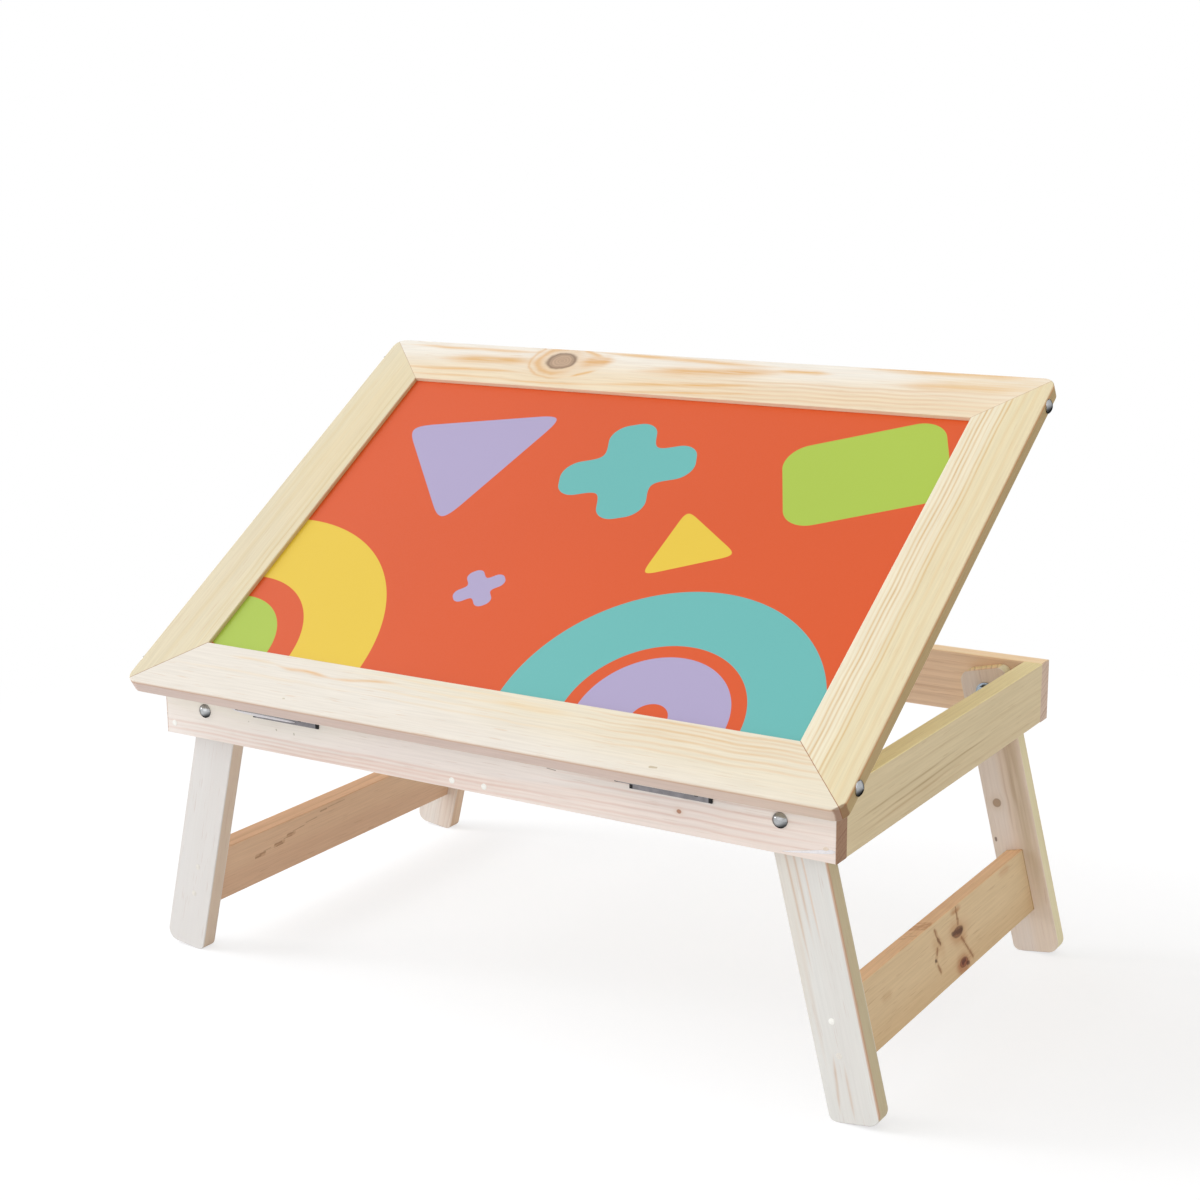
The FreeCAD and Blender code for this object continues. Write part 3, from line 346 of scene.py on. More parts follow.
def build_grain_group():
    """Sawn pine: growth rings round a pith that runs along X, crossed by the board's faces."""
    tree, r, given, out = new_group(
        "pine grain",
        {"Vector": "Place", "Color": "Sap, Heart, Line",
         "Float": "Pith y, Pith z, Ring, Waver, Taper, Sap lines, Heart lines, Heart from, Heart to, "
                  "Heart slope, Fibre, Seed"},
        {"Color": "Colour", "Float": "Late, Rings, Fibre"})
    place = given["Place"]
    seed = given["Seed"]
    x, y, z = r.split(place)
    swing = r.sheet_noise(place, seed, RING_SWING, detail=1.5, result="Color")
    ripple = r.sheet_noise(place, seed, RING_RIPPLE, detail=1.0)
    drift = r.split(r.vector("SUBTRACT", swing, (0.5, 0.5, 0.5)))
    waver = r.times(given["Waver"], 2.0)
    bend = r.times(r.minus(ripple, 0.5), r.times(waver, RING_WOBBLE))
    from_y = r.plus(r.minus(y, given["Pith y"]), r.plus(r.times(drift[0], waver), bend))
    from_z = r.plus(r.minus(z, given["Pith z"]), r.times(drift[1], waver))
    radius = r.plus(r.length(r.join(0.0, from_y, from_z)), r.times(x, given["Taper"]))
    turns = r.over(radius, given["Ring"])
    pace = r.add("ShaderNodeTexNoise", noise_dimensions="1D")
    r.fill(pace, W=r.plus(r.times(turns, RING_PACE), seed), Scale=1.0)
    turns = r.plus(turns, r.times(r.minus(pace.outputs[0], 0.5), RING_PACE_SPAN))
    ring = r.math("FRACT", turns)
    own = r.add("ShaderNodeTexWhiteNoise", noise_dimensions="1D")
    r.fill(own, W=r.plus(r.math("FLOOR", turns), seed))
    rings = r.times(r.math("POWER", ring, RING_SHARPNESS), r.ramp(ring, 1.0, 0.9),
                    r.math("MULTIPLY_ADD", own.outputs[0], 0.6, 0.4))
    edge = r.plus(r.plus(y, r.times(x, given["Heart slope"])), r.times(drift[2], HEART_EDGE_SWING))
    heart = r.ramp(edge, given["Heart from"], given["Heart to"])
    late = r.times(rings, r.between(heart, given["Sap lines"], given["Heart lines"]))
    ground = r.blend(heart, given["Sap"], given["Heart"])
    patch = r.ramp(r.sheet_noise(place, seed, BLUSH_PATCHES), 0.42, 0.72)
    colour = r.blend(late, r.lay(ground, given["Line"], patch, BLUSH), given["Line"])
    fine = r.sheet_noise(place, seed, FIBRES, detail=3.0)
    colour = r.shaded(colour, r.between(given["Fibre"], 1.0, r.ramp(fine, 0.28, 0.72, 0.9, 1.05)))
    canal = r.ramp(r.sheet_noise(place, seed, RESIN_CANALS, detail=0.0), 0.72, 0.8, 0.0, 0.22)
    r.fill(out, Colour=r.blend(canal, colour, given["Line"]), Late=late, Rings=rings, Fibre=fine)
    return tree


def build_knot_group():
    """A knot: bends the place round itself, and gives its core, dark rim and halo."""
    tree, r, given, out = new_group("knot", {"Vector": "Place, Centre, Half size", "Float": "Pull"},
                                    {"Vector": "Place", "Float": "Core, Rim, Halo, Away"})
    place = given["Place"]
    away = r.vector("MULTIPLY", r.vector("SUBTRACT", place, given["Centre"]), FLAT)
    ratio = r.length(r.vector("DIVIDE", away, given["Half size"]))
    ratio = r.plus(ratio, r.times(r.minus(r.noise(place, KNOT_EDGE, 1.0), 0.5), KNOT_UNEVENNESS))
    aside = r.times(r.split(away)[1], r.times(r.bell(ratio, PULL_TIGHTNESS), given["Pull"]))
    edge = r.over(r.minus(ratio, 1.0), KNOT_RIM_WIDTH)
    r.fill(out, Place=r.vector("SUBTRACT", place, r.join(0.0, aside, 0.0)), Core=r.ramp(ratio, 1.0, 0.8),
           Rim=r.bell(edge), Halo=r.bell(ratio, HALO_TIGHTNESS), Away=ratio)
    return tree


def build_stroke_group():
    """A thin line or speck on a board's face, from one place to another."""
    tree, r, given, out = new_group("stroke", {"Vector": "Place, Start, End", "Float": "Half width, Ragged"},
                                    {"Float": "Mask"})
    away = r.vector("MULTIPLY", r.vector("SUBTRACT", given["Place"], given["Start"]), FLAT)
    run = r.vector("MULTIPLY", r.vector("SUBTRACT", given["End"], given["Start"]), FLAT)
    along = r.over(r.dot(away, run), r.math("MAXIMUM", r.dot(run, run), 1e-9), clamp=True)
    apart = r.length(r.vector("SUBTRACT", away, r.scaled(run, along)))
    uneven = r.math("MULTIPLY_ADD", r.noise(given["Place"], STROKE_EDGE, 1.0), given["Ragged"], 1.0)
    uneven = r.minus(uneven, r.times(given["Ragged"], 0.5))
    half_width = given["Half width"]
    r.fill(out, Mask=r.ramp(r.times(apart, uneven), half_width, r.times(half_width, 0.35)))
    return tree


def build_streak_group():
    """A soft tongue of darker grain along a board, which sways with its neighbours."""
    tree, r, given, out = new_group(
        "streak", {"Vector": "Place, Centre, Half size", "Float": "Slope, Sway, Seed"}, {"Float": "Mask"})
    place = given["Place"]
    seed = given["Seed"]
    x, y = r.split(r.vector("SUBTRACT", place, given["Centre"]))[:2]
    half_long, half_wide = r.split(given["Half size"])[:2]
    wave = r.sheet_noise(place, seed, STREAK_SWAY, detail=1.5)
    sway = r.times(r.minus(wave, 0.5), r.times(given["Sway"], 4.0))
    off = r.minus(y, r.plus(r.times(x, given["Slope"]), sway))
    taper = r.ramp(r.over(r.math("ABSOLUTE", x), half_long), 1.0, 0.3)
    reach = r.times(half_wide, r.math("MULTIPLY_ADD", taper, 0.6, 0.4))
    fibre = r.sheet_noise(place, seed, STREAK_FIBRES)
    r.fill(out, Mask=r.times(r.bell(r.over(off, reach)), r.ramp(fibre, 0.25, 0.65, 0.55, 1.0), taper))
    return tree


def new_material(name):
    """An empty material, and the recipe of its node tree."""
    finish = bpy.data.materials.new(name)
    finish.use_nodes = True
    finish.node_tree.nodes.clear()
    return finish, Recipe(finish.node_tree)


def new_finish(name):
    """A material, its recipe and its shader."""
    finish, r = new_material(name)
    shader = r.add("ShaderNodeBsdfPrincipled")
    r.fill(r.add("ShaderNodeOutputMaterial"), Surface=shader.outputs[0])
    return finish, r, shader


def wear(node, finish):
    """Gives a CAD node its finish."""
    for slot in frame["nodes"][node].material_slots:
        slot.material = finish


def board_turn(along, across):
    """The turn that lays X along a board, Y across its face and Z out of it."""
    along = Vector(along)
    across = Vector(across)
    return Matrix((along, across, along.cross(across))).transposed().to_euler("XYZ")


AXIS = Vector(JOINTS["top_tilt"]["pos_m"])
UP_SLOPE = (0, math.cos(TOP_TILT), math.sin(TOP_TILT))


def leg_ways(side):
    """The way down a leg, and the way across its front face."""
    return ((side * math.sin(LEG_LEAN), 0, -math.cos(LEG_LEAN)),
            (math.cos(LEG_LEAN), 0, side * math.sin(LEG_LEAN)))


def leg_pivot(side):
    """The leg pivot of one side, on the front rail's front face."""
    place = JOINTS["right_leg_fold" if side > 0 else "left_leg_fold"]["pos_m"]
    return Vector((place[0], FRONT_FACE, place[2]))


def leg_grid(side):
    """A leg's place and turn: X down the leg from its pivot, Y across its front face."""
    return leg_pivot(side), board_turn(*leg_ways(side))


def stretcher_grid(side):
    """A stretcher's place and turn: X to the rear, Y up the leg."""
    up = (-side * math.sin(LEG_LEAN), 0, math.cos(LEG_LEAN))
    return leg_pivot(side), board_turn((0, 1, 0), up)


ORIGIN = Vector((0, 0, 0))
GRIDS = {
    "top length": (AXIS, board_turn((1, 0, 0), UP_SLOPE)),
    "top depth": (AXIS, board_turn(UP_SLOPE, (-1, 0, 0))),
    "rail length": (ORIGIN, board_turn((1, 0, 0), (0, 0, 1))),
    "rail depth": (ORIGIN, board_turn((0, 1, 0), (0, 0, 1))),
    "flat depth": (ORIGIN, board_turn((0, 1, 0), (-1, 0, 0))),
    "prop": (Vector(JOINTS["prop_swing"]["pos_m"]),
             board_turn((0, math.cos(PROP_SLOPE), -math.sin(PROP_SLOPE)),
                        (0, math.sin(PROP_SLOPE), math.cos(PROP_SLOPE)))),
    "left leg": leg_grid(-1),
    "right leg": leg_grid(1),
    "left stretcher": stretcher_grid(-1),
    "right stretcher": stretcher_grid(1),
}

# The core, the dark rim and the halo of each kind of knot.
KNOT_TONES = {
    "sound": ("B59A84", "6A5042", "DCAA68"),
    "brown": ("8A5A3C", "5E3A26", "C08E66"),
    "red": ("94563A", "6A3E28", "B87C54"),
    "faint": ("B39A84", "9C826C", "D8C6B4"),
    "small": ("B07A5C", "9A6850", "E0C0AC"),
}
END_GRAIN = "5C4234"
EDGE_BLUR = 0.7
CURL_FADE = 22
HALO_STRENGTH, RIM_STRENGTH = 0.6, 0.75
KNOT_RINGS, KNOT_RING_DEPTH = 26.0, 0.12
WOOD_ROUGHNESS = (0.72, 0.58)
WOOD_SPECULAR = 0.3
LATE_WOOD_GLOSS, LATE_WOOD_RISE = 0.12, 0.5
WOOD_BUMP, WOOD_RELIEF = 0.25, 0.25
ROW_STEP, NAME_STEP = 1.7, 0.31


def pine_finish(name, grid, colours, fibre, seed, pith, ring, waver, lines, heart, taper=0.0, slope=0.0,
                knots=(), curls=(), curl_limit=0.0, streaks=(), strokes=(), ragged=1.0, sides=None, caps=(),
                arris=None):
    """The finish of one pine board. Lengths are in millimetres, on the board's own grid.

    pith: where the rings' middle runs, across the face and out of it. ring: how wide one ring is.
    waver: how far the rings sway. taper: how they widen along the board.
    lines: how strong the rings are in sapwood and in heartwood.
    heart: where sapwood gives way to heartwood across the face, which turns by slope along the board.
    knots: place, half length, half width, pull on the grain, kind. curls: rings of grain round a knot,
    as radius, width and strength, on the near side of curl_limit.
    streaks: place, half length, half width, tilt, sway, strength, colour.
    strokes: from, to, half width, strength, colour. ragged: how uneven their edges are.
    sides: depths where an edge begins and ends, and the tone of the painted shade on that side face.
    caps: the way an end or edge faces, where it lies, tone, how strong the sawn rings are. On sawn ends the
    tone is the end grain's own; on the top faces of the rear and right side rails it is painted light, and
    along the feet's sawn ends painted shade.
    arris: depth, half width, from and to across the face, colour, strength.
    """
    finish, r, shader = new_finish(name)
    spot = r.seen_from(r.here(), *GRIDS[grid])
    along, across, depth = r.split(spot)
    bent = spot
    made_knots = []
    for x, y, half_long, half_wide, pull, kind in knots:
        knot = r.group(build_knot_group, place=bent, centre=at(x, y), half_size=at(half_long, half_wide, 1),
                       pull=pull)
        made_knots.append((knot, kind))
        bent = knot["Place"]
    sap, heartwood, line = colours
    grain = r.group(build_grain_group, place=bent, pith_y=pith[0] * MM, pith_z=pith[1] * MM, ring=ring * MM,
                    waver=waver * MM, taper=taper, sap_lines=lines[0], heart_lines=lines[1],
                    heart_from=heart[0] * MM, heart_to=heart[1] * MM, heart_slope=slope, sap=sap,
                    heart=heartwood, line=line, fibre=fibre, seed=seed)
    colour = grain["Colour"]
    for x, y, half_long, half_wide, tilt, sway, strength, code in streaks:
        streak = r.group(build_streak_group, place=bent, centre=at(x, y),
                         half_size=at(half_long, half_wide, 1), slope=tilt, sway=sway * MM, seed=seed)
        colour = r.lay(colour, tone(code), streak["Mask"], strength)
    for knot, kind in made_knots:
        core, rim, halo = (tone(code) for code in KNOT_TONES[kind])
        colour = r.lay(colour, halo, knot["Halo"], HALO_STRENGTH)
        for radius, width, strength in curls:
            band = r.bell(r.over(r.minus(knot["Away"], radius), width))
            near_side = r.step(along, curl_limit, curl_limit - CURL_FADE)
            colour = r.lay(colour, halo, r.times(band, near_side), strength)
        wave = r.math("SINE", r.times(knot["Away"], KNOT_RINGS))
        rings = r.math("MULTIPLY_ADD", wave, KNOT_RING_DEPTH, 1 - KNOT_RING_DEPTH)
        colour = r.lay(colour, core, knot["Core"], rings)
        colour = r.lay(colour, rim, knot["Rim"], RIM_STRENGTH)
    # Painted shade: the side faces between these depths are darkened.
    if sides:
        upper, lower, code = sides
        mask = r.times(r.step(depth, upper, upper - EDGE_BLUR), r.step(depth, lower, lower + EDGE_BLUR))
        colour = r.blend(mask, colour, gain(code), "MULTIPLY")
    # Tones on ends and edges: end grain on sawn ends, painted light on the rails' top faces, painted shade
    # along the feet.
    for way, limit, code, rings in caps:
        mask = r.step(r.dot(spot, way), limit - EDGE_BLUR, limit + 0.1)
        sawn = r.lay(gain(code), gain(END_GRAIN), grain["Rings"], rings)
        colour = r.blend(mask, colour, sawn, "MULTIPLY")
    if arris:
        middle, half_width, outer_from, outer_to, code, strength = arris
        mask = r.bell(r.over(r.minus(depth, middle * MM), half_width * MM))
        colour = r.lay(colour, tone(code), r.times(mask, r.step(across, outer_from, outer_to)), strength)
    for start, end, half_width, strength, code in strokes:
        stroke = r.group(build_stroke_group, place=spot, start=at(*start), end=at(*end),
                         half_width=half_width * MM, ragged=ragged)
        colour = r.lay(colour, tone(code), stroke["Mask"], strength)
    rough = r.minus(r.spread(grain["Fibre"], *WOOD_ROUGHNESS), r.times(grain["Late"], LATE_WOOD_GLOSS))
    r.fill(shader, Base_Color=colour, Roughness=rough, Specular_IOR_Level=WOOD_SPECULAR)
    r.bump(shader, WOOD_BUMP, WOOD_RELIEF, r.plus(grain["Fibre"], r.times(grain["Late"], LATE_WOOD_RISE)))
    return finish


def dress_boards(settings, family, rows):
    """Makes and assigns the finish of each board listed: node, grid, wood colours and looks.

    The wood colours are sapwood, heartwood and, where the family's own doesn't serve, grain lines.
    """
    tint = getattr(settings, family + "_tint")
    line = tuple(getattr(settings, family + "_line"))
    for seed, (node, grid, codes, looks) in enumerate(rows, start=1):
        colours = [tuple(part * amount for part, amount in zip(tone(code), tint)) for code in codes]
        if len(colours) == 2:
            colours.append(line)
        fibre = settings.fibre * looks.pop("softer", 1.0)
        wear(node, pine_finish("pine " + node.replace("_", " "), grid, colours, fibre,
                               seed * ROW_STEP + len(node) * NAME_STEP, **looks))


PLUS_X, MINUS_X, PLUS_Y = (1, 0, 0), (-1, 0, 0), (0, 1, 0)

# Corners and edges of the top in millimetres, on the grid of its boards.
TOP_HALF, TOP_LOW, TOP_HIGH = 305, -20.8, 404.2
OPENING_HALF, OPENING_LOW, OPENING_HIGH = 255, 29.2, 354.2
TOP_EDGE = (13.8, 3.2)
FRONT_SEAM = (0.4, 0.85, "A06A44")
REAR_SEAM = (0.3, 0.5, "A06A44")
# Painted shadow at the top's front right corner.
PAINTED_CORNER_SHADOW = "80573C"
TAN = "E2B274"
PALE_TAN = "EBCFA0"
ORANGE = "E2B476"


class TABLE_OT_top_frame(Operator):
    """Finishes the four mitred members of the tilting top"""
    bl_idname = "study_table.top_frame"
    bl_label = "Top Frame"

    def execute(self, context):
        front_mitres = [((sign * TOP_HALF, TOP_LOW), (sign * OPENING_HALF, OPENING_LOW), *FRONT_SEAM)
                        for sign in (-1, 1)]
        rear_mitres = [((sign * TOP_HALF, TOP_HIGH), (sign * OPENING_HALF, OPENING_HIGH), *REAR_SEAM)
                       for sign in (-1, 1)]

        def side_mitres(sign):
            """The seams at both ends of a side member."""
            return [((TOP_LOW, sign * TOP_HALF), (OPENING_LOW, sign * OPENING_HALF), *FRONT_SEAM),
                    ((TOP_HIGH, sign * TOP_HALF), (OPENING_HIGH, sign * OPENING_HALF), *REAR_SEAM)]
        front_lines = [(205, row, 140, 1.15, 0.0, 1.7, strength, "DDB682")
                       for row, strength in ((25.3, 0.7), (22.0, 0.4), (18.4, 0.7), (15.2, 0.4), (11.9, 0.65),
                                             (5.9, 0.5), (0.6, 0.4))]
        front_lines += [(-20 + 30 * (row % 2), 24 - 6.5 * row, 120, 1.0, 0.0, 1.9, 0.32, PALE_TAN)
                        for row in range(4)]
        wavy = [(-200, 19.5, 34, 1.2, 0.0, 1.6, 0.4, PALE_TAN), (-150, 17, 34, 1.5, -0.04, 2.6, 0.8, TAN),
                (-95, 17, 40, 1.3, 0.05, 2.6, 0.7, TAN), (52, 19.5, 50, 2.6, 0.0, 1.2, 0.5, PALE_TAN),
                (-180, 6, 120, 1.4, 0.0, 1.6, 0.22, PALE_TAN)]
        rear_low = [(130, 378.5 - 5.0 * row, 210, 1.3, 0.015, 2.2, 0.48, "DAB186") for row in range(5)]
        rear_flow = [
            (-195, 384.5, 62, 5.2, 0.03, 0.5, 0.9, "DDAE6C"), (-215, 397.5, 90, 1.9, -0.01, 0.9, 0.75, TAN),
            (-215, 370.5, 80, 2.0, 0.02, 0.9, 0.85, TAN), (-210, 361.5, 75, 1.3, 0.0, 0.9, 0.6, TAN),
            (-88, 390, 20, 5.4, 0.14, 0.8, 1.0, "DCA866"), (-98, 398.5, 17, 1.9, -0.2, 0.4, 0.9, ORANGE),
            (-94, 376, 14, 1.8, 0.35, 0.4, 0.9, ORANGE), (-120, 361, 62, 1.4, 0.02, 1.6, 0.75, TAN),
            (22, 386.5, 82, 5.4, 0.075, 0.8, 0.95, "DFB074"),
            (-10, 399.5, 110, 2.4, -0.03, 0.9, 0.85, ORANGE), (0, 368, 100, 2.1, 0.08, 1.2, 0.95, ORANGE),
            (10, 359, 85, 1.5, 0.07, 1.2, 0.85, TAN), (102, 393, 30, 2.6, 0.0, 0.5, 0.9, ORANGE),
            (225, 402, 90, 3.0, 0.0, 0.5, 0.95, ORANGE), (235, 386.5, 66, 4.4, 0.02, 0.9, 0.7, "E0B276"),
            (290, 392, 120, 14, 0.0, 0.0, 0.55, "E8CC9C")]
        right_lines = [(190, -offset, 620, width, 0.004, 0.9, strength, code)
                       for offset, width, strength, code in (
                           (258.6, 0.7, 0.25, "DDC48C"), (262.0, 0.8, 0.65, "D3AE72"),
                           (265.4, 0.8, 0.8, "CFA86C"), (268.8, 0.8, 0.65, "D3AE72"),
                           (272.4, 0.7, 0.35, "D9BC84"), (276.7, 0.8, 0.7, "D4B074"),
                           (280.1, 0.8, 0.7, "D4B074"), (288.3, 1.6, 0.4, "DDC290"),
                           (296.5, 1.8, 0.35, "DDC290"))]
        left_lines = [(200, 262, 260, 1.0, 0.0, 0.9, 0.5, "CDB479"),
                      (170, 267.5, 220, 1.4, 0.0, 1.0, 0.35, "D3BC84"),
                      (120, 285, 190, 2.6, 0.0, 1.2, 0.3, "D3BC84"),
                      (260, 294, 160, 1.8, 0.0, 1.2, 0.3, "D3BC84"),
                      (290, 280, 150, 18, 0.0, 0.0, 0.5, "E4D2A8")]
        # Painted shadow at the front right corner of the top, on the front and right members.
        front_corner_shadow = [((299, -21), (305.3, -14), 1.6, 0.7, PAINTED_CORNER_SHADOW)]
        side_corner_shadow = [((-21, -299), (-14, -305.3), 1.6, 0.7, PAINTED_CORNER_SHADOW)]
        front_specks = [((-151.6, -11.2), (-150.4, -11.2), 0.9, 0.55, "B5A688"),
                        ((163.5, -12.9), (168.1, -12.6), 1.1, 0.6, "B09A70")]
        # The sides of the front, left and right members are painted shade on their side faces.
        rows = [
            ("top_front_member", "top length", ("EAE4DB", "EAE1CD"), dict(
                pith=(150, -40), ring=4.8, waver=2.2, lines=(0.02, 0.06), heart=(-10, 34), slope=0.14,
                streaks=front_lines + wavy, sides=(*TOP_EDGE, "A59A9A"),
                arris=(13.5, 0.8, -19.2, -20.1, "C08E66", 0.6),
                strokes=front_mitres + front_corner_shadow + front_specks)),
            ("top_rear_member", "top length", ("F0EBE2", "EDDDC2"), dict(
                pith=(404, -26), ring=2.9, waver=2.2, taper=0.02, lines=(0.1, 0.12), heart=(398, 366),
                knots=[(-122.3, 388.5, 13.0, 9.6, 0.5, "sound")], streaks=rear_flow + rear_low,
                curls=[(1.7, 0.26, 0.65), (2.35, 0.13, 0.5)], curl_limit=-104, strokes=rear_mitres)),
            ("top_left_member", "top depth", ("E3D9BE", "E4D9BB"), dict(
                pith=(150, -30), ring=5.0, waver=1.4, lines=(0.06, 0.1), heart=(285, 258),
                streaks=left_lines, sides=(*TOP_EDGE, "A89C88"), strokes=side_mitres(1))),
            ("top_right_member", "top depth", ("EFE7D0", "E6DAB8"), dict(
                pith=(-110, -20), ring=3.4, waver=1.0, lines=(0.08, 0.08), heart=(-268, -284),
                streaks=right_lines, sides=(*TOP_EDGE, "8F8473"),
                arris=(13.5, 0.75, -303.6, -304.4, "C4834E", 0.8),
                strokes=side_mitres(-1) + side_corner_shadow)),
        ]
        dress_boards(context.scene.study_pine, "top", rows)
        return {"FINISHED"}


RAIL_END = 288.6
RAIL_UPPER_EDGE = 234.7
ROSE = "CFA08C"
HONEY = "A98552"
UMBER = "9C7A4A"
STRAW = "B08E5C"


class TABLE_OT_base_rails(Operator):
    """Finishes the four rails of the base"""
    bl_idname = "study_table.base_rails"
    bl_label = "Base Rails"

    def execute(self, context):
        low_lines = [(-130 + 60 * (row % 2), 198.4 - 3.0 * row, 250, 1.1, 0.003, 0.8, 0.45, ROSE)
                     for row in range(4)]
        right_lines = [(175, 232 - 5.6 * row, 140, 0.9, 0.012, 1.6, 0.4, ROSE) for row in range(8)]
        cream = [(-205, 217, 150, 17, 0.0, 0.0, 0.85, "F3EEE4")]
        left_side_lines = [
            (90, 228.5, 230, 0.8, -0.01, 0.5, 0.25, HONEY), (20, 222, 160, 0.8, 0.01, 0.5, 0.3, HONEY),
            (120, 214.5, 220, 1.0, 0.0, 0.7, 0.25, STRAW), (-20, 209, 210, 0.8, 0.02, 0.7, 0.55, UMBER),
            (70, 203.5, 240, 0.8, 0.02, 0.6, 0.6, UMBER), (-30, 198, 150, 1.1, 0.02, 0.6, 0.5, HONEY),
            (150, 192.5, 160, 1.0, 0.0, 0.6, 0.25, STRAW)]
        right_side_lines = [
            (-40, 221, 120, 0.8, 0.01, 0.5, 0.2, HONEY), (-70, 209, 120, 0.8, 0.02, 0.5, 0.5, UMBER),
            (-20, 203.5, 150, 0.8, 0.02, 0.5, 0.55, UMBER), (-60, 198, 110, 1.0, 0.02, 0.5, 0.45, HONEY),
            (60, 192.5, 200, 1.0, 0.0, 0.5, 0.25, STRAW), (120, 214.5, 120, 1.0, 0.0, 0.5, 0.15, STRAW)]
        inner_lines = [(140, 224 - 7.0 * row, 120, 1.4, 0.03, 2.2, 0.3, "C29A74") for row in range(5)]
        rows = [
            ("front_rail", "rail length", ("F4ECE8", "F5E9E3"), dict(
                pith=(60, 120), ring=3.6, waver=2.0, lines=(0.02, 0.1), heart=(202, 197), slope=-0.05,
                knots=[(173.1, 202.5, 1.6, 1.3, 0.5, "small")], streaks=cream + low_lines + right_lines,
                caps=[(PLUS_X, RAIL_END, "766150", 0.8), (MINUS_X, RAIL_END, "A0948C", 0.7)],
                strokes=[((-177.4, 205.9), (-177.0, 205.2), 0.8, 0.6, "9A9278"),
                         ((-160, 205.4), (-159.8, 204.4), 0.8, 0.6, "9A9278"),
                         ((-204.6, 208), (-204.4, 208), 0.7, 0.4, "9A9288"),
                         ((68, 215.6), (75, 215.0), 0.5, 0.7, "7E6A60")])),
            ("rear_rail", "rail length", ("FDE3CA", "FDE3CA", "C09470"), dict(
                pith=(90, -240), ring=4.2, waver=2.0, lines=(0.3, 0.3), heart=(180, 181),
                streaks=inner_lines, caps=[(PLUS_X, RAIL_END, "98979C", 0.4),
                                           (MINUS_X, RAIL_END, "98979C", 0.4),
                                           # Painted light: the rear rail's top face is made lighter.
                                           (PLUS_Y, RAIL_UPPER_EDGE, "C2C2B6", 0.0)])),
            ("left_side_rail", "rail depth", ("E9DFC4", "E4D3B2"), dict(
                pith=(120, -200), ring=4.0, waver=1.6, lines=(0.3, 0.6), heart=(205, 200),
                streaks=left_side_lines)),
            ("right_side_rail", "rail depth", ("DDCCAA", "DECEAC", STRAW), dict(
                pith=(340, 240), ring=3.8, waver=1.6, lines=(0.1, 0.12), heart=(200, 212),
                # Painted light: the right side rail's top face is made lighter.
                streaks=right_side_lines, caps=[(PLUS_Y, RAIL_UPPER_EDGE, "CDD0C0", 0.0)])),
        ]
        dress_boards(context.scene.study_pine, "rail", rows)
        return {"FINISHED"}


class TABLE_OT_inner_boards(Operator):
    """Finishes the battens, the notched rack, the prop and its brackets"""
    bl_idname = "study_table.inner_boards"
    bl_label = "Inner Boards"

    def execute(self, context):
        piths = (("centre_batten", "flat depth", (60, 170)), ("prop_rack", "flat depth", (-70, 190)),
                 ("cross_batten", "top length", (260, -50)), ("left_prop_bracket", "top depth", (40, -70)),
                 ("right_prop_bracket", "top depth", (-40, -70)), ("left_prop_arm", "prop", (-60, -40)),
                 ("right_prop_arm", "prop", (70, 30)), ("prop_foot_dowel", "rail length", (190, -130)))
        rows = [(node, grid, ("F4E9D2", "EFDCB8"),
                 dict(pith=pith, ring=3.8, waver=1.4, lines=(0.4, 0.6), heart=(0, 1)))
                for node, grid, pith in piths]
        dress_boards(context.scene.study_pine, "top", rows)
        return {"FINISHED"}


# Measures of the legs in millimetres, on their own grids where they are places.
LEG_HALF = 19
LEG_TOP = 18.1
PIVOT_HEIGHT = 210.4
FOOT_RADIUS = 6.0
FOOT_SLANT = math.radians(6.0)
DUSKY = "CDB29C"
FRONT_LEG_EDGE = (-16.0, -28.6)
REAR_LEG_EDGE = (-354.4, -367.0)


def foot_reach():
    """Where a foot's sawn end lies: how far down the leg on its middle line, along its own way, in mm."""
    heel = (PIVOT_HEIGHT - FOOT_RADIUS - (LEG_HALF - FOOT_RADIUS) * math.sin(LEG_LEAN)) / math.cos(LEG_LEAN)
    inner = heel + FOOT_RADIUS * (1 / math.cos(FOOT_SLANT) - math.tan(FOOT_SLANT))
    return (inner + LEG_HALF * math.tan(FOOT_SLANT)) * math.cos(FOOT_SLANT)


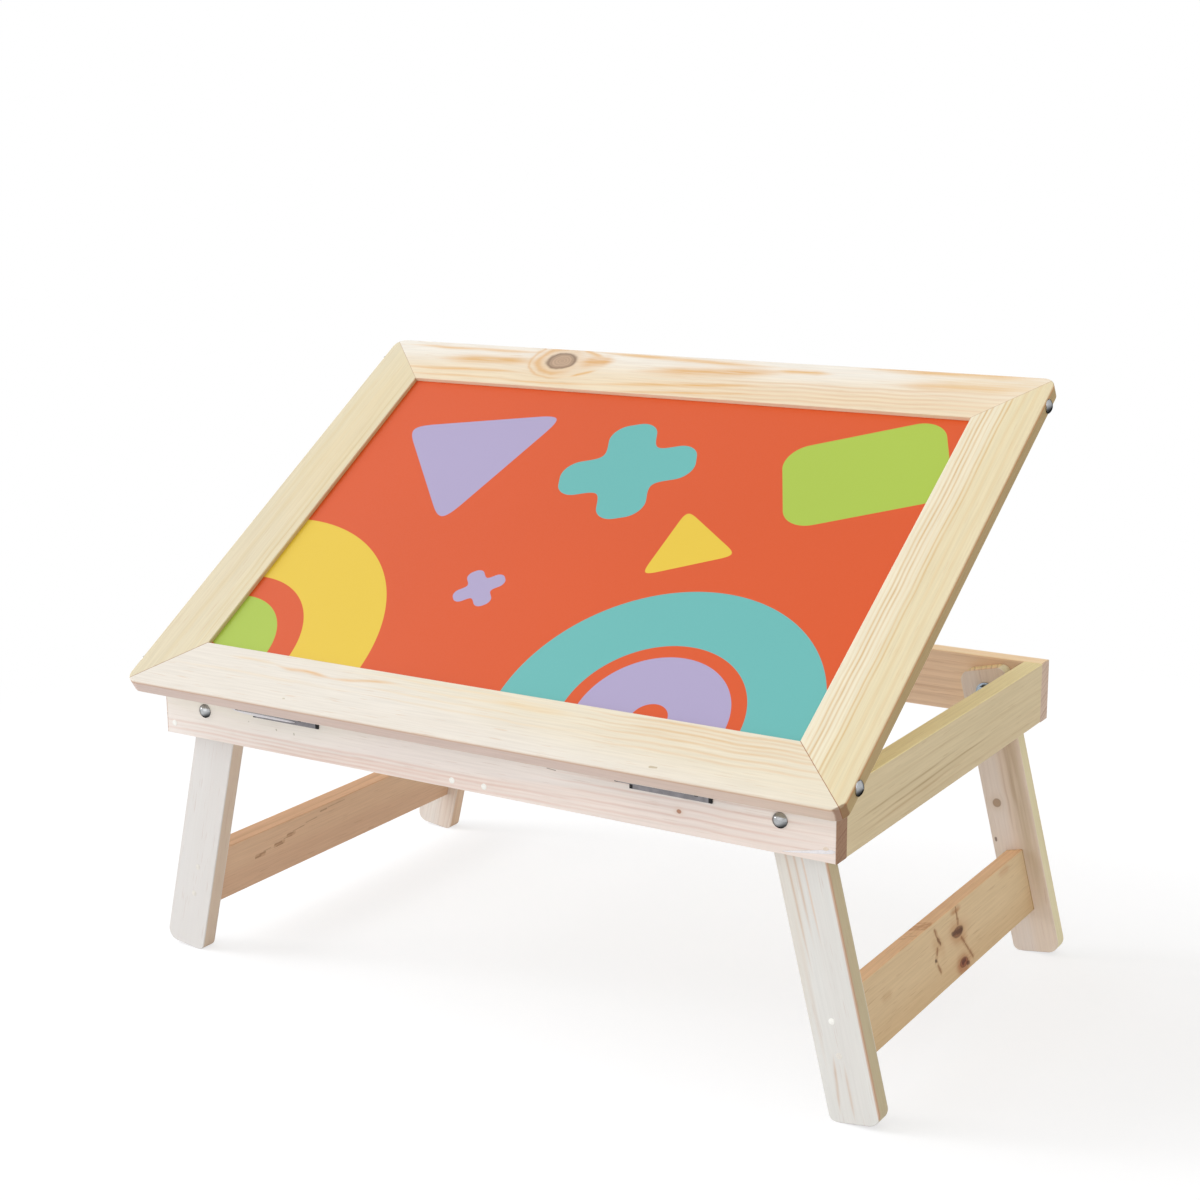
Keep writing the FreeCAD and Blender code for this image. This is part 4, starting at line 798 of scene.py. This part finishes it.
class TABLE_OT_legs(Operator):
    """Finishes the four legs"""
    bl_idname = "study_table.legs"
    bl_label = "Legs"

    def execute(self, context):
        front_leg_lines = [
            (45, -10.2, 75, 0.9, 0.02, 0.6, 0.75, DUSKY), (40, -4.5, 62, 0.9, 0.02, 0.6, 0.7, DUSKY),
            (48, 1.3, 52, 0.7, 0.02, 0.5, 0.55, "D9B69A"), (186, -8, 24, 1.0, -0.09, 0.2, 0.7, DUSKY),
            (192, 0.3, 24, 0.9, -0.01, 0.2, 0.7, DUSKY), (120, -13, 70, 1.6, 0.0, 0.5, 0.25, DUSKY)]
        rear_leg_lines = [
            (60, 6.5, 60, 1.6, 0.02, 0.8, 0.6, "A88A68"), (40, 11, 50, 1.2, 0.0, 0.8, 0.5, "A88A68"),
            (90, 11, 110, 7.0, 0.0, 0.4, 0.6, "BBA682"), (70, 0.5, 60, 1.0, 0.0, 0.6, 0.35, "B59A80")]

        def ends(side):
            """The top of a leg, and painted shade along the sawn end of its foot."""
            way = (math.cos(FOOT_SLANT), side * -math.sin(FOOT_SLANT), 0)
            # The foot's dark tone is painted shade where its end meets the floor.
            return [(MINUS_X, LEG_TOP, "B4A490", 0.6), (way, foot_reach(), "78686C", 0.3)]
        # The sides of each leg are painted shade on its side faces.
        rows = [
            ("left_front_leg", "left leg", ("E3E1E0", "E2DEDB"), dict(
                softer=0.25, pith=(120, 60), ring=6.0, waver=1.6, lines=(0.03, 0.05), heart=(-14, -22),
                sides=(*FRONT_LEG_EDGE, "B0A498"), caps=ends(-1))),
            ("left_rear_leg", "left leg", ("EEE8E2", "ECE0D6"), dict(
                pith=(-90, -300), ring=4.6, waver=1.6, lines=(0.15, 0.3), heart=(0, 10),
                sides=(*REAR_LEG_EDGE, "B0A498"), caps=ends(-1))),
            ("right_front_leg", "right leg", ("E3E3E1", "E3E0DA"), dict(
                softer=0.6, pith=(70, 20), ring=6.2, waver=1.0, lines=(0.02, 0.08), heart=(7, -3), slope=0.13,
                sides=(*FRONT_LEG_EDGE, "A0967F"), arris=(-15.7, 0.8, 17.0, 18.0, "BC8654", 0.8),
                caps=ends(1), streaks=front_leg_lines)),
            ("right_rear_leg", "right leg", ("F0E6DF", "EEDFD2"), dict(
                softer=0.7, pith=(-80, -330), ring=4.4, waver=1.4, lines=(0.05, 0.08), heart=(-6, 4),
                sides=(*REAR_LEG_EDGE, "B4BAA8"), caps=ends(1),
                knots=[(90.3, -9.0, 3.2, 3.0, 0.6, "faint")], streaks=rear_leg_lines,
                strokes=[((119.4, -15.7), (121.0, -15.7), 1.5, 0.8, "6E5A50")])),
        ]
        dress_boards(context.scene.study_pine, "leg", rows)
        return {"FINISHED"}


STRETCHER_UPPER_EDGE = -129.8
CRACK = "8E5C36"
POCKET = "503222"


def marks(width, strength, code, lines):
    """Short strokes of one width, strength and colour, each as four numbers: from and to."""
    return [((x, y), (end_x, end_y), width, strength, code) for x, y, end_x, end_y in lines]


class TABLE_OT_stretchers(Operator):
    """Finishes the boards that join each pair of legs"""
    bl_idname = "study_table.stretchers"
    bl_label = "Stretchers"

    def execute(self, context):
        cracks = marks(3.2, 0.35, "A8744A", [
            (215, -134, 214, -143), (215.5, -155, 228, -173), (174.5, -136, 179, -146.5),
            (173, -149, 167.5, -155.5), (169, -160, 171.5, -165.5)])
        cracks += marks(1.4, 0.65, CRACK, [
            (215.2, -131.6, 214.6, -134.5), (214.8, -136, 214, -139.5), (215.4, -140.6, 213.9, -143.4),
            (215.5, -154.6, 218.6, -159), (219.6, -161, 223, -166), (224.2, -167.6, 228, -173.4),
            (174.4, -135.2, 175.2, -140.2), (173.4, -148.6, 170.8, -152), (169, -160, 171.4, -165.4)])
        cracks += marks(2.0, 0.75, "734A2E", [(176.2, -142.0, 179.4, -146.4)])
        spots = marks(2.4, 0.7, POCKET, [(201.5, -147.6, 207.0, -148.2)])
        spots += marks(3.0, 0.75, POCKET, [(211.0, -148.8, 217.5, -149.2)])
        spots += marks(1.6, 0.8, POCKET, [(166.4, -155.4, 167.8, -155.8)])
        spots += marks(2.6, 0.85, "5A2C1C", [(209.0, -171.8, 214.0, -171.2), (216.5, -174.6, 219.0, -175.0)])
        specks = marks(1.4, 0.55, "B87848", [(160, -128.6, 176, -128.6)])
        specks += marks(1.2, 0.4, "9A6840", [(140, -128.4, 152, -128.4)])
        # Painted contact shadow along the stretcher's end, where it meets the leg.
        end_contact_shadow = marks(1.0, 0.55, "9A6A42", [(352.6, -130, 352.6, -179)])
        checks = marks(2.8, 0.35, "AC7A52", [
            (80, -152, 89, -152), (103, -149, 113, -148.6), (118, -145, 126, -144.6)])
        checks += marks(1.3, 0.42, "845432", [
            (79, -153.0, 85, -153.0), (84, -151.2, 90, -151.0), (102, -148.2, 110, -148.0),
            (105, -150.4, 112, -150.2), (117, -143.8, 124, -143.6), (158, -134.4, 166, -134.2)])
        checks += marks(0.7, 0.35, "8A5A36", [
            (88, -149.6, 97, -149.2), (113, -146.2, 123, -146.0), (124, -142.4, 138, -141.6),
            (140, -139.6, 154, -138.8), (168, -133.6, 190, -133.0)])
        smudges = [
            (211, -150, 18, 8.0, -0.3, 0.6, 0.55, "B98253"), (176, -148, 14, 8.0, -0.4, 0.5, 0.35, "BE8C5C"),
            (209, -173, 15, 5.5, 0.0, 0.5, 0.9, "A65F36"), (311, -134, 16, 2.6, 0.0, 0.3, 0.5, "C48A60"),
            (214, -133, 13, 2.6, 0.0, 0.3, 0.7, "B4784A"), (84, -151, 12, 3.0, 0.0, 0.3, 0.3, "B48656")]
        rows = [
            ("left_stretcher", "left stretcher", ("E4C3A6", "DFBCA0"), dict(
                pith=(-60, -40), ring=3.6, waver=2.4, taper=0.01, lines=(0.14, 0.16), heart=(-150, -160),
                strokes=checks, caps=[(PLUS_Y, STRETCHER_UPPER_EDGE, "BAB3AC", 0.2)])),
            ("right_stretcher", "right stretcher", ("E2C9A4", "DBBE96"), dict(
                pith=(-70, -60), ring=4.4, waver=2.6, taper=0.01, lines=(0.04, 0.05), heart=(-150, -175),
                knots=[(211.5, -148.8, 8.5, 3.4, 0.5, "brown"), (211.5, -172.2, 6.5, 3.0, 0.4, "red")],
                streaks=smudges, ragged=1.5, strokes=cracks + spots + specks + end_contact_shadow,
                caps=[(PLUS_Y, STRETCHER_UPPER_EDGE, "C4B8B2", 0.2)])),
        ]
        dress_boards(context.scene.study_pine, "stretcher", rows)
        return {"FINISHED"}


# The panel's middle up the slope and the depth of its printed face, in millimetres on the top's grid.
PANEL_MIDDLE = 191.7
PRINTED_FROM = 10.9
PANEL_GRAIN = 700.0
PANEL_CLOUD = 5.0
BOARD_SPECKLE = 420.0
PANEL_ROUGHNESS = (0.42, 0.5)
PANEL_SPECULAR = 0.35
PANEL_BUMP, PANEL_RELIEF = 0.08, 0.1
RING_MIDDLE = (-255, -163)
ARCH_MIDDLE = (140, -163)


class TABLE_OT_writing_panel(Operator):
    """Finishes the writing panel with its print"""
    bl_idname = "study_table.writing_panel"
    bl_label = "Writing Panel"

    def execute(self, context):
        settings = context.scene.study_panel
        finish, r, shader = new_finish("printed panel")
        place, turn = GRIDS["top length"]
        spot = r.seen_from(r.here(), place + Vector(UP_SLOPE) * PANEL_MIDDLE * MM, turn)

        def local(x, y, degrees=0.0):
            """The place seen from a motif's own middle and turn."""
            return r.vector("MULTIPLY", r.seen_from(spot, at(x, y), (0, 0, math.radians(degrees))), FLAT)

        def block(near, half_x, half_y, corner):
            """How far a place is from a rounded block."""
            out = r.vector("SUBTRACT", r.vector("ABSOLUTE", near), at(half_x - corner, half_y - corner))
            x, y = r.split(out)[:2]
            inside = r.math("MINIMUM", r.math("MAXIMUM", x, y), 0.0)
            outside = r.length(r.vector("MAXIMUM", out, (0.0, 0.0, 0.0)))
            return r.minus(r.plus(inside, outside), corner * MM)

        def triangle(near, inner_radius, corner):
            """How far a place is from a triangle with soft corners."""
            sides = [r.dot(near, (math.sin(way), math.cos(way), 0.0))
                     for way in (0.0, math.radians(120), math.radians(240))]
            far = r.math("SMOOTH_MAX", sides[0], sides[1], corner * MM)
            return r.minus(r.math("SMOOTH_MAX", far, sides[2], corner * MM), inner_radius * MM)

        def band(near, radius, half_width):
            """How far a place is from a ring."""
            return r.minus(r.math("ABSOLUTE", r.minus(r.length(near), radius * MM)), half_width * MM)

        def arch(near, radius, half_width):
            """How far a place is from a half ring that stands on its feet."""
            below = r.times(r.split(near)[1], -1.0)
            return r.math("MAXIMUM", band(near, radius, half_width), below)

        def cross(near, reach, half_width, corner):
            """How far a place is from a cross with soft ends and soft inner corners."""
            bars = [block(near, reach, half_width, corner), block(near, half_width, reach, corner)]
            return r.math("SMOOTH_MIN", *bars, corner * MM)

        motifs = [
            ("yellow", band(local(*RING_MIDDLE), 112, 34)),
            ("lime", band(local(*RING_MIDDLE), 30, 26)),
            ("lavender", triangle(local(-148, 78, 12), 42, 26)),
            ("teal", cross(local(2, 76, 20), 56, 20, 16)),
            ("lime", block(local(196, 96, 24), 62, 46, 22)),
            ("teal", arch(local(*ARCH_MIDDLE), 96, 27)),
            ("lavender", arch(local(*ARCH_MIDDLE), 36, 22)),
            ("yellow", triangle(local(92, 2, -34), 21, 14)),
            ("lavender", cross(local(-56, -66, 40), 21, 7, 6)),
        ]
        colour = tuple(settings.ground)
        for name, apart in motifs:
            colour = r.blend(r.step(apart, 0.25, -0.25), colour, tuple(getattr(settings, name)))
        colour = r.shaded(colour, r.spread(r.noise(spot, PANEL_CLOUD, 1.0), 0.985, 1.01))
        printed = r.math("GREATER_THAN", r.split(spot)[2], PRINTED_FROM * MM)
        speckle = r.noise(spot, BOARD_SPECKLE, 3.0)
        board = r.shaded(tuple(settings.board), r.spread(speckle, 0.85, 1.08))
        grain = r.noise(spot, PANEL_GRAIN, 2.0)
        r.fill(shader, Base_Color=r.blend(printed, board, colour), Specular_IOR_Level=PANEL_SPECULAR,
               Roughness=r.spread(grain, *PANEL_ROUGHNESS))
        r.bump(shader, PANEL_BUMP, PANEL_RELIEF, grain)
        wear("top_panel", finish)
        return {"FINISHED"}


# The way a surface faces where the zinc gets painted shade: down and towards +X.
PAINTED_SHADE_SIDE = (0.45, 0.0, -0.89)
STEEL_CLOUD = 160.0
STEEL_BUMP, STEEL_RELIEF = 0.12, 0.1
ZINC_GRIT, NUT_GRIT, HINGE_GRIT = 1400.0, 1100.0, 900.0
# How dark the painted shade on the zinc gets.
ZINC_PAINTED_SHADE = 0.12
# Where the painted shadow at a hinge leaf's ends begins and ends, and how dark it gets.
PAINTED_SHADOW_FROM, PAINTED_SHADOW_TO, PAINTED_SHADOW_DEPTH = 3.0 * MM, 2.2 * MM, 0.12


def steel_finish(name, colour, roughness, grit, rim=(0.5, 0.5, 0.5), painted_shade=1.0, painted_shadow_ends=None):
    """Steel: fine scratches, a tone that changes from place to place, and painted shade where it faces down.

    painted_shadow_ends: the middle and half length of a hinge leaf, whose two ends get painted shadow.
    """
    finish, r, shader = new_finish(name)
    seen = r.here()
    cloud = r.noise(seen, STEEL_CLOUD, 3.0)
    # Painted shade: the base colour is darker where the surface faces down and towards +X.
    facing = r.dot(r.add("ShaderNodeTexCoord").outputs["Normal"], PAINTED_SHADE_SIDE)
    shade = r.times(r.spread(cloud, 0.86, 1.06), r.ramp(facing, 0.08, 0.68, 1.0, painted_shade))
    # Painted shadow at both ends of a hinge leaf.
    if painted_shadow_ends:
        middle, half = painted_shadow_ends
        apart = r.math("ABSOLUTE", r.minus(r.split(seen)[0], middle))
        dark = r.ramp(apart, half - PAINTED_SHADOW_FROM, half - PAINTED_SHADOW_TO, 1.0, PAINTED_SHADOW_DEPTH)
        shade = r.times(shade, dark)
    r.fill(shader, Base_Color=r.shaded(colour, shade), Metallic=1.0, Specular_Tint=rim,
           Roughness=r.spread(cloud, roughness + 0.08, roughness - 0.06))
    r.bump(shader, STEEL_BUMP, STEEL_RELIEF, r.noise(seen, grit, 2.0))
    return finish


class TABLE_OT_fittings(Operator):
    """Finishes the bolts, nuts, washers, screws, nails and the prop's rod"""
    bl_idname = "study_table.fittings"
    bl_label = "Bolts, Screws and Nails"

    def execute(self, context):
        settings = context.scene.study_steel
        rough = settings.zinc_roughness
        # The zinc of the bolts, screws, nails and rod carries painted shade where it faces down.
        zinc = steel_finish("zinc steel", tuple(settings.zinc), rough, ZINC_GRIT, tuple(settings.rim),
                            ZINC_PAINTED_SHADE)
        pale = steel_finish("nut zinc", tuple(settings.nut), rough + 0.1, NUT_GRIT)
        for node in frame["nodes"]:
            if node.endswith(("washers", "nuts")):
                wear(node, pale)
            elif node.endswith(("bolts", "nails", "screws", "rod")):
                wear(node, zinc)
        return {"FINISHED"}


class TABLE_OT_hinges(Operator):
    """Finishes the two butt hinges and their screws"""
    bl_idname = "study_table.hinges"
    bl_label = "Hinges"

    def execute(self, context):
        settings = context.scene.study_steel
        steel = tuple(settings.hinge)
        look = (settings.hinge_roughness, HINGE_GRIT)
        screw = steel_finish("hinge screw steel", steel, *look)
        pin = steel_finish("hinge pin steel", tuple(settings.pin), *look)
        for node in frame["nodes"]:
            if node.endswith("leaf"):
                # Each hinge leaf gets painted shadow at its two ends.
                low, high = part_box(node)
                ends = ((low.x + high.x) / 2, (high.x - low.x) / 2)
                wear(node, steel_finish(node.replace("_", " "), steel, *look, painted_shadow_ends=ends))
            elif "hinge" in node:
                wear(node, pin if node.endswith("pin") else screw)
        return {"FINISHED"}


PUTTY_CLOUD = 600.0
PUTTY_BUMP, PUTTY_RELIEF = 0.3, 0.1
PUTTY_ROUGHNESS, FILLER_ROUGHNESS, GLUE_ROUGHNESS = 0.55, 0.62, 0.3


def putty_finish(name, colour, roughness):
    """Filler or glue that has dried, a little uneven."""
    finish, r, shader = new_finish(name)
    cloud = r.noise(r.here(), PUTTY_CLOUD, 3.0)
    r.fill(shader, Base_Color=r.shaded(colour, r.spread(cloud, 0.93, 1.02)),
           Roughness=r.spread(cloud, roughness + 0.12, roughness - 0.04))
    r.bump(shader, PUTTY_BUMP, PUTTY_RELIEF, cloud)
    return finish


def add_piece(name, mesh, body):
    """Adds a smooth piece that rides on a body."""
    for face in mesh.polygons:
        face.use_smooth = True
    piece = bpy.data.objects.new(name, mesh)
    bpy.context.scene.collection.objects.link(piece)
    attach(piece, body)


def build_plug_tree():
    """Geometry Nodes: a flat dome of filler on each point."""
    tree, r, given, out = new_group(
        "filler plug", {"Geometry": "Geometry", "Float": "Radius, Rise", "Material": "Finish"},
        {"Geometry": "Geometry"}, "GeometryNodeTree")
    dots = r.fill(r.add("GeometryNodeMeshToPoints"), Mesh=given["Geometry"])
    dome = r.fill(r.add("GeometryNodeMeshUVSphere"), Segments=20, Rings=10, Radius=1.0)
    size = r.join(given["Radius"], given["Rise"], given["Radius"])
    flat = r.fill(r.add("GeometryNodeTransform"), Geometry=dome.outputs["Mesh"], Scale=size)
    placed = r.fill(r.add("GeometryNodeInstanceOnPoints"), Points=dots.outputs[0], Instance=flat.outputs[0])
    whole = r.pour(r.add("GeometryNodeRealizeInstances"), placed.outputs[0])
    dressed = r.fill(r.add("GeometryNodeSetMaterial"), Geometry=whole.outputs[0], Material=given["Finish"])
    r.fill(out, Geometry=dressed.outputs[0])
    return tree


def plugs(tree, name, body, points, finish, settings):
    """One mesh of plugs at the points, riding on a body."""
    dots = bpy.data.meshes.new(name + "_points")
    dots.from_pydata(points, [], [])
    maker = bpy.data.objects.new(name + "_maker", dots)
    bpy.context.scene.collection.objects.link(maker)
    modifier = maker.modifiers.new("plugs", "NODES")
    modifier.node_group = tree
    values = {"Radius": settings.plug_radius, "Rise": settings.plug_rise, "Finish": finish}
    for item in tree.interface.items_tree:
        if item.in_out == "INPUT" and item.name in values:
            modifier[item.identifier] = values[item.name]
    solved = maker.evaluated_get(bpy.context.evaluated_depsgraph_get())
    mesh = bpy.data.meshes.new_from_object(solved)
    bpy.data.objects.remove(maker)
    add_piece(name, mesh, body)


# Where the nails are, in metres: in the rails, in the centre batten, and down and behind the legs.
NAIL_X = 0.2815
NAIL_HEIGHTS = (0.1955, 0.2265)
BATTEN_NAIL_X = 0.014
BATTEN_NAIL_Z = 0.193
LEG_NAIL_DEPTHS = (0.1425, 0.1665)
LEG_NAIL_INSET = 0.002
LEG_SET_BACK = 0.0153


def leg_nails(side):
    """The nails through both legs of one side: front ones first."""
    down, across = (Vector(way) for way in leg_ways(side))
    spots = [leg_pivot(side) + down * far - across * side * LEG_NAIL_INSET for far in LEG_NAIL_DEPTHS]
    return [(spot.x, y, spot.z) for y in (FRONT_FACE + LEG_SET_BACK, REAR_FACE - LEG_SET_BACK)
            for spot in spots]


class TABLE_OT_filler_plugs(Operator):
    """Fills the nail holes in the rails and the legs"""
    bl_idname = "study_table.filler_plugs"
    bl_label = "Filler Plugs"

    def execute(self, context):
        settings = context.scene.study_filler
        tree = build_plug_tree()
        faces = (FRONT_FACE, REAR_FACE)
        rail = [(x, y, z) for y in faces for x in (-NAIL_X, NAIL_X) for z in NAIL_HEIGHTS]
        batten = [(x, y, BATTEN_NAIL_Z) for y in faces for x in (-BATTEN_NAIL_X, BATTEN_NAIL_X)]
        left, right = leg_nails(-1), leg_nails(1)
        white = putty_finish("white putty", tuple(settings.putty), PUTTY_ROUGHNESS)
        wood = putty_finish("wood filler", tuple(settings.wood_filler), FILLER_ROUGHNESS)
        pale = putty_finish("pale filler", tuple(settings.leg_filler), FILLER_ROUGHNESS)
        for name, body, points, finish in (
                ("white_rail_plugs", "base", rail[:1] + batten[:2], white),
                ("wood_rail_plugs", "base", rail[1:] + batten[2:], wood),
                ("white_leg_plug", "right_legs", right[:1], white),
                ("right_leg_plugs", "right_legs", right[1:], pale),
                ("left_leg_plugs", "left_legs", left, pale)):
            plugs(tree, name, body, points, finish, settings)
        return {"FINISHED"}


GLUE_SIDES = 14


def glue_run(name, finish, stations, settings):
    """Flat white ovals on the front rail, as (x, z, half height, height of what lies below): dried glue, and
    the painted glint by the left hinge.
    """
    form = bmesh.new()
    turns = [2 * math.pi * step / GLUE_SIDES for step in range(GLUE_SIDES)]
    rings = [[form.verts.new((x * MM, FRONT_FACE - under * MM - settings.glue_rise * math.sin(turn),
                              z * MM + half_high * MM * math.cos(turn))) for turn in turns]
             for x, z, half_high, under in stations]
    for one, other in zip(rings, rings[1:]):
        for step in range(GLUE_SIDES):
            after = (step + 1) % GLUE_SIDES
            form.faces.new((one[step], one[after], other[after], other[step]))
    form.faces.new(rings[0])
    form.faces.new(rings[-1])
    bmesh.ops.recalc_face_normals(form, faces=form.faces)
    mesh = bpy.data.meshes.new(name)
    form.to_mesh(mesh)
    form.free()
    mesh.materials.append(finish)
    add_piece(name, mesh, "base")


class TABLE_OT_glue(Operator):
    """Lays the glue that squeezed out on the front rail, and a white sliver by the left hinge that is a
    painted glint
    """
    bl_idname = "study_table.glue"
    bl_label = "Glue"

    def execute(self, context):
        settings = context.scene.study_filler
        dried = putty_finish("dried glue", tuple(settings.glue), GLUE_ROUGHNESS)
        # Painted glint: a white sliver by the left hinge that stands in for light seen there.
        glue_run("glue_by_hinge", dried, [
            (-221.5, 215.6, 0.2, 0), (-216, 215.3, 0.9, 0), (-208, 215.0, 1.4, 0), (-200.5, 214.9, 1.3, 0),
            (-198.4, 214.8, 1.2, 1.2), (-188, 214.9, 1.1, 1.2), (-174, 214.8, 1.0, 1.2),
            (-163, 214.7, 0.8, 1.2), (-157.5, 214.6, 0.2, 1.2)], settings)
        glue_run("glue_at_corner", dried, [
            (250.5, 189.3, 0.2, 0), (256, 190.0, 0.6, 0), (264, 191.3, 0.8, 0), (273, 192.9, 1.1, 0),
            (281, 194.4, 1.5, 0), (286, 195.2, 1.3, 0), (288, 195.4, 0.3, 0)], settings)
        return {"FINISHED"}


CAMERA_PLACE = (0.8173043, -1.3001402, 0.6498875)
SENSOR_WIDTH = 36
CAMERA_YAW = math.radians(32.1702)
CAMERA_PITCH = math.radians(-13.1694)
CAMERA_ROLL = math.radians(-0.5024)
# The ways to the three suns.
TO_LAMP = (-0.72, -0.24, 0.65)
TO_WINDOW = (-0.93, -0.33, 0.2)
TO_FRONT = (-0.12, -0.95, 0.3)
FLOOR_HALF = 6.0
PLAIN_FLOOR = (0.9, 0.9, 0.9)
SHOWN_FLOOR = (0.37, 0.375, 0.385)
WHITE = (1.0, 1.0, 1.0)
WARM_SKY = (1.0, 0.94, 0.82)


def make_camera(settings):
    """The camera at the photograph's place and turn."""
    ahead = Vector((-math.sin(CAMERA_YAW) * math.cos(CAMERA_PITCH),
                    math.cos(CAMERA_YAW) * math.cos(CAMERA_PITCH), math.sin(CAMERA_PITCH)))
    level = ahead.cross(Vector((0, 0, 1))).normalized()
    above = level.cross(ahead)
    right = level * math.cos(CAMERA_ROLL) + above * math.sin(CAMERA_ROLL)
    up = above * math.cos(CAMERA_ROLL) - level * math.sin(CAMERA_ROLL)
    data = bpy.data.cameras.new("camera")
    data.sensor_width = SENSOR_WIDTH
    data.lens = settings.lens
    camera = bpy.data.objects.new("camera", data)
    camera.matrix_world = Matrix.Translation(CAMERA_PLACE) @ Matrix((right, up, -ahead)).transposed().to_4x4()
    bpy.context.scene.collection.objects.link(camera)
    bpy.context.scene.camera = camera


def showing_rays(r):
    """One for the rays that show the background: camera, glossy and transmission."""
    path = r.add("ShaderNodeLightPath").outputs
    seen = r.math("MAXIMUM", path["Is Camera Ray"], path["Is Glossy Ray"])
    return r.math("MAXIMUM", seen, path["Is Transmission Ray"])


def make_floor(settings):
    """A pale floor that keeps the object's shadow and fades to white."""
    finish, r = new_material("studio floor")
    fade = r.ramp(r.length(r.here()), settings.fade_start, settings.fade_end)
    plain = r.fill(r.add("ShaderNodeBsdfDiffuse"), Color=PLAIN_FLOOR)
    shown = r.fill(r.add("ShaderNodeBsdfDiffuse"), Color=SHOWN_FLOOR, Normal=r.vector("NORMALIZE", TO_LAMP))
    glow = r.fill(r.add("ShaderNodeEmission"), Strength=settings.floor_light)
    near = r.pour(r.add("ShaderNodeAddShader"), shown.outputs[0], glow.outputs[0])
    far = r.mix(fade, near, r.add("ShaderNodeEmission"))
    choice = r.mix(showing_rays(r), plain, far)
    r.fill(r.add("ShaderNodeOutputMaterial"), Surface=choice.outputs[0])
    mesh = bpy.data.meshes.new("floor")
    form = bmesh.new()
    bmesh.ops.create_grid(form, x_segments=8, y_segments=8, size=FLOOR_HALF)
    form.to_mesh(mesh)
    form.free()
    mesh.materials.append(finish)
    floor = bpy.data.objects.new("floor", mesh)
    bpy.context.scene.collection.objects.link(floor)


def make_light(settings):
    """A soft lamp from the left, a low window, a broad front light, and even light from all round."""
    for name, strength, way, degrees in (("soft lamp", settings.lamp, TO_LAMP, 40),
                                         ("window", settings.window, TO_WINDOW, 14),
                                         ("front light", settings.front, TO_FRONT, 60)):
        data = bpy.data.lights.new(name, "SUN")
        data.energy = strength
        data.angle = math.radians(degrees)
        lamp = bpy.data.objects.new(name, data)
        lamp.rotation_euler = Vector(way).to_track_quat("Z", "Y").to_euler()
        bpy.context.scene.collection.objects.link(lamp)
    world = bpy.data.worlds.new("studio")
    world.use_nodes = True
    world.node_tree.nodes.clear()
    r = Recipe(world.node_tree)
    east = r.split(r.add("ShaderNodeTexCoord").outputs["Generated"])[0]
    warm = r.blend(r.ramp(east, -0.1, 0.8), WHITE, WARM_SKY)
    sky = r.fill(r.add("ShaderNodeBackground"), Color=warm, Strength=settings.sky)
    white = r.fill(r.add("ShaderNodeBackground"), Color=WHITE)
    r.fill(r.add("ShaderNodeOutputWorld"), Surface=r.mix(showing_rays(r), sky, white).outputs[0])
    bpy.context.scene.world = world


class TABLE_OT_studio(Operator):
    """Sets up the floor, the light and the camera"""
    bl_idname = "study_table.studio"
    bl_label = "Studio"

    def execute(self, context):
        settings = context.scene.study_studio
        make_camera(settings)
        make_floor(settings)
        make_light(settings)
        context.scene.view_settings.view_transform = "Standard"
        return {"FINISHED"}


STEPS = (TABLE_OT_studio, TABLE_OT_top_frame, TABLE_OT_base_rails, TABLE_OT_inner_boards, TABLE_OT_legs,
         TABLE_OT_stretchers, TABLE_OT_writing_panel, TABLE_OT_fittings, TABLE_OT_hinges,
         TABLE_OT_filler_plugs, TABLE_OT_glue)
SETTINGS = (("study_pine", PineSettings), ("study_panel", PanelSettings), ("study_steel", SteelSettings),
            ("study_filler", FillerSettings), ("study_studio", StudioSettings))


class VIEW3D_PT_study_table(Panel):
    """The steps and settings of the study table"""
    bl_label = "Study Table"
    bl_space_type = "VIEW_3D"
    bl_region_type = "UI"
    bl_category = "Study Table"

    def draw(self, context):
        for step in STEPS:
            self.layout.operator(step.bl_idname)
        for name, group in SETTINGS:
            box = self.layout.box()
            for setting in group.__annotations__:
                box.prop(getattr(context.scene, name), setting)


def register():
    for name, group in SETTINGS:
        bpy.utils.register_class(group)
        setattr(bpy.types.Scene, name, PointerProperty(type=group))
    for part in (*STEPS, VIEW3D_PT_study_table):
        bpy.utils.register_class(part)


def unregister():
    for part in reversed((*STEPS, VIEW3D_PT_study_table)):
        bpy.utils.unregister_class(part)
    for name, group in reversed(SETTINGS):
        delattr(bpy.types.Scene, name)
        bpy.utils.unregister_class(group)


def main():
    """Registers the steps and runs them in order."""
    register()
    for step in STEPS:
        family, name = step.bl_idname.split(".")
        getattr(getattr(bpy.ops, family), name)()


if __name__ == "__main__":
    main()
